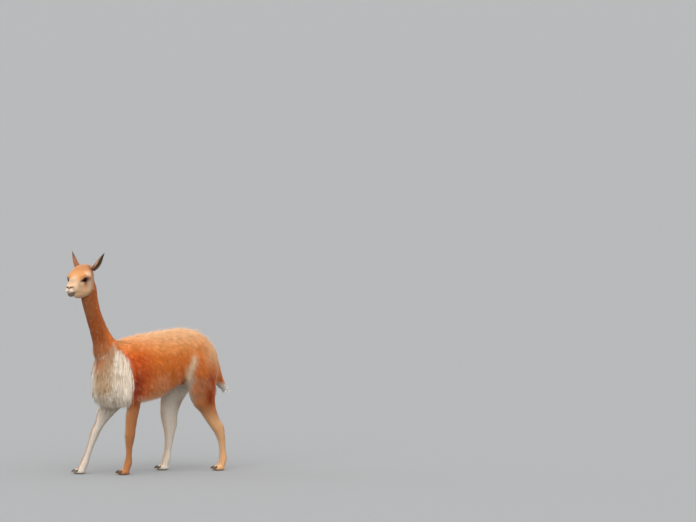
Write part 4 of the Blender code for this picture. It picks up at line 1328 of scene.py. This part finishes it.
bib_keep = bib * ramp(bib, 0.20, 0.45) * (1 - np.clip(zone["lower"], 0, 1))
for side, side_name in ((1, "left"), (-1, "right")):
    roots = Roots(bib_keep * (place[:, 0] * side >= 0), BIB_LOCKS, 600 + side)
    root_x, root_ahead, root_height = roots.at[:, 0], roots.of(ahead), roots.at[:, 2]
    length = roots.random(*BIB_LENGTHS)
    length = length + 0.05 * ramp(root_ahead, 0.30, 0.24) * ramp(root_height, 0.50, 0.60)
    room = root_height - roots.random(*BIB_ENDS)
    length = np.minimum(length, np.maximum(room, 0.030))
    cross = unit(np.cross(roots.out, HANGING))
    phase, waves = roots.random(0, 2 * math.pi), roots.random(0.7, 1.6)
    layer = roots.random(0.15, 1.0)
    full = 1 + 0.45 * ramp(root_ahead, 0.33, 0.38) * ramp(root_height, 0.62, 0.54)
    lean = roots.luck.normal(0, 0.10, BIB_LOCKS)
    line = [roots.at - roots.out * 0.001]
    lift = 0.15 + 0.35 * ramp(roots.of(bib), 0.60, 0.97)
    way = unit(HANGING * 0.8 + roots.way * 0.2 + roots.out * lift[:, None])
    for step in range(1, BIB_STEPS + 1):
        share = step / BIB_STEPS
        way = unit(way * 0.55 + HANGING * 0.60)
        sway = cross * (lean + 0.10 * np.sin(phase + waves * share * 2 * math.pi))[:, None]
        point = line[-1] + unit(way + sway) * (length / BIB_STEPS)[:, None]
        line.append(clear_of_skin(point, (0.003 + 0.016 * layer * share) * full))
    line = np.stack(line, 1)
    middle, tip, lock = gathered(roots, line[:, -2], line[:, -1], 14, roots.random(0.1, 0.6))
    line[:, -2], line[:, -1] = middle, tip
    lock_tone = roots.luck.normal(0, 1, lock.max() + 1)[lock]
    # Duller locks: their own tone, and painted shade over the bib's upper front, lower part and left
    # side.
    dull_and_shade = 1.65 * bell(root_x, 0.050, 0.040) * ramp(root_ahead, 0.29, 0.33)
    dull_and_shade = dull_and_shade * ramp(root_height, 0.535, 0.610)
    dull_and_shade = dull_and_shade + 0.05 * ramp(root_height, 0.58, 0.50) + 0.16 * ramp(root_x, -0.01, 0.05)
    dull_and_shade = dull_and_shade + 0.32 * lock_tone + roots.luck.normal(0, 0.32, BIB_LOCKS)
    base = blended(np.tile(CREAM, (BIB_LOCKS, 1)), BIB_DULL_AND_SHADE, np.clip(dull_and_shade, 0, 1) * 0.9)
    tone = 1 + 0.07 * roots.luck.normal(0, 1, BIB_LOCKS)
    # Each lock is painted darker at its root, as shade deep in the bib.
    shade = np.clip(base[:, None] * tone[:, None, None] * BIB_ROOT_SHADE[:, None], 0, 0.98)
    # Under the neck the locks start in its rust and pale towards their tips.
    rusty = bell(root_x, 0.024, 0.044) * ramp(root_ahead, 0.33, 0.37)
    rusty = np.maximum(rusty, 0.5 * ramp(roots.of(bib), 0.95, 0.60) * ramp(root_ahead, 0.27, 0.32))
    rusty = rusty * ramp(root_height + 0.02 * lock_tone, 0.640, 0.705)
    rusty = rusty[:, None, None] * RUST_FADE[:, None]
    shade = shade + (NECK_RUST * 1.15 - shade) * rusty
    width = BIB_WIDTH * roots.random(0.6, 1.25)[:, None] * BIB_TAPER
    around = np.arctan2(roots.at[:, 0], -0.10 - roots.at[:, 1])
    made = spikes(f"bib_locks_{side_name}", line, width, shade, roots.out, charted(root_height, around))
    kept(made, "bib_coat", bib_hair)

# --- Studio ---------------------------------------------------------------------------------------
# The finished mount stands on a plain pale floor under a big soft light, as for a catalogue. The
# camera is a long lens at the animal's left front, a little above its belly.
PICTURE_WIDTH, PICTURE_HEIGHT = 696, 522
PIXELS_PER_METRE = 165.6
MIDDLE_X, FLOOR_Y = 142.6, 472.4  # where the middle of the floor under the animal falls in the picture
CAMERA_AZIMUTH = math.radians(61.5)
CAMERA_ELEVATION = math.radians(3.4)
CAMERA_DISTANCE = 45.0
SENSOR_WIDTH = 36.0
FLOOR_COLOUR = (0.291, 0.291, 0.292, 1)
SKY_COLOUR = (0.97, 0.985, 1.0, 1)
SKY_STRENGTH = 0.90

back = Vector((
    math.sin(CAMERA_AZIMUTH) * math.cos(CAMERA_ELEVATION),
    -math.cos(CAMERA_AZIMUTH) * math.cos(CAMERA_ELEVATION),
    math.sin(CAMERA_ELEVATION),
))
camera = bpy.data.objects.new("camera", bpy.data.cameras.new("camera"))
bpy.context.scene.collection.objects.link(camera)
turn = (-back).to_track_quat("-Z", "Y")
right, up = turn @ Vector((1, 0, 0)), turn @ Vector((0, 1, 0))
aside = (PICTURE_WIDTH / 2 - MIDDLE_X) / PIXELS_PER_METRE
above = (FLOOR_Y - PICTURE_HEIGHT / 2) / PIXELS_PER_METRE
aim = right * aside + up * above
camera.location = aim + back * CAMERA_DISTANCE
camera.rotation_mode = "QUATERNION"
camera.rotation_quaternion = turn
camera.data.sensor_width = SENSOR_WIDTH
camera.data.lens = SENSOR_WIDTH * CAMERA_DISTANCE * PIXELS_PER_METRE / PICTURE_WIDTH
camera.data.clip_end = 2000
bpy.context.scene.camera = camera

bpy.ops.mesh.primitive_plane_add(size=1600)
floor = bpy.context.object
floor.name = "floor"
floor_finish = Finish("floor", Base_Color=FLOOR_COLOUR, Roughness=0.95, Specular_IOR_Level=0.1)
floor.data.materials.append(floor_finish.material)

world = bpy.data.worlds.new("world")
bpy.context.scene.world = world
world.use_nodes = True
sky = world.node_tree.nodes["Background"]
sky.inputs["Color"].default_value = SKY_COLOUR
sky.inputs["Strength"].default_value = SKY_STRENGTH


def soft_light(name, azimuth, elevation, strength, spread):
    """A far light as wide as a big diffuser, which lights the whole floor evenly. Angles in degrees."""
    lamp = bpy.data.objects.new(name, bpy.data.lights.new(name, "SUN"))
    bpy.context.scene.collection.objects.link(lamp)
    a, e = math.radians(azimuth), math.radians(elevation)
    way = Vector((math.sin(a) * math.cos(e), -math.cos(a) * math.cos(e), math.sin(e)))
    lamp.location = way * 6
    lamp.rotation_mode = "QUATERNION"
    lamp.rotation_quaternion = (-way).to_track_quat("-Z", "Y")
    lamp.data.energy = strength
    lamp.data.angle = math.radians(spread)


soft_light("key_light", 48, 43, 2.1, 70)
soft_light("fill_light", 150, 56, 0.82, 80)
soft_light("front_light", -42, 18, 0.60, 50)
bpy.context.scene.view_settings.view_transform = "Standard"

# --- Last step ------------------------------------------------------------------------------------
# The view layer is brought up to date once more.
bpy.context.view_layer.update()
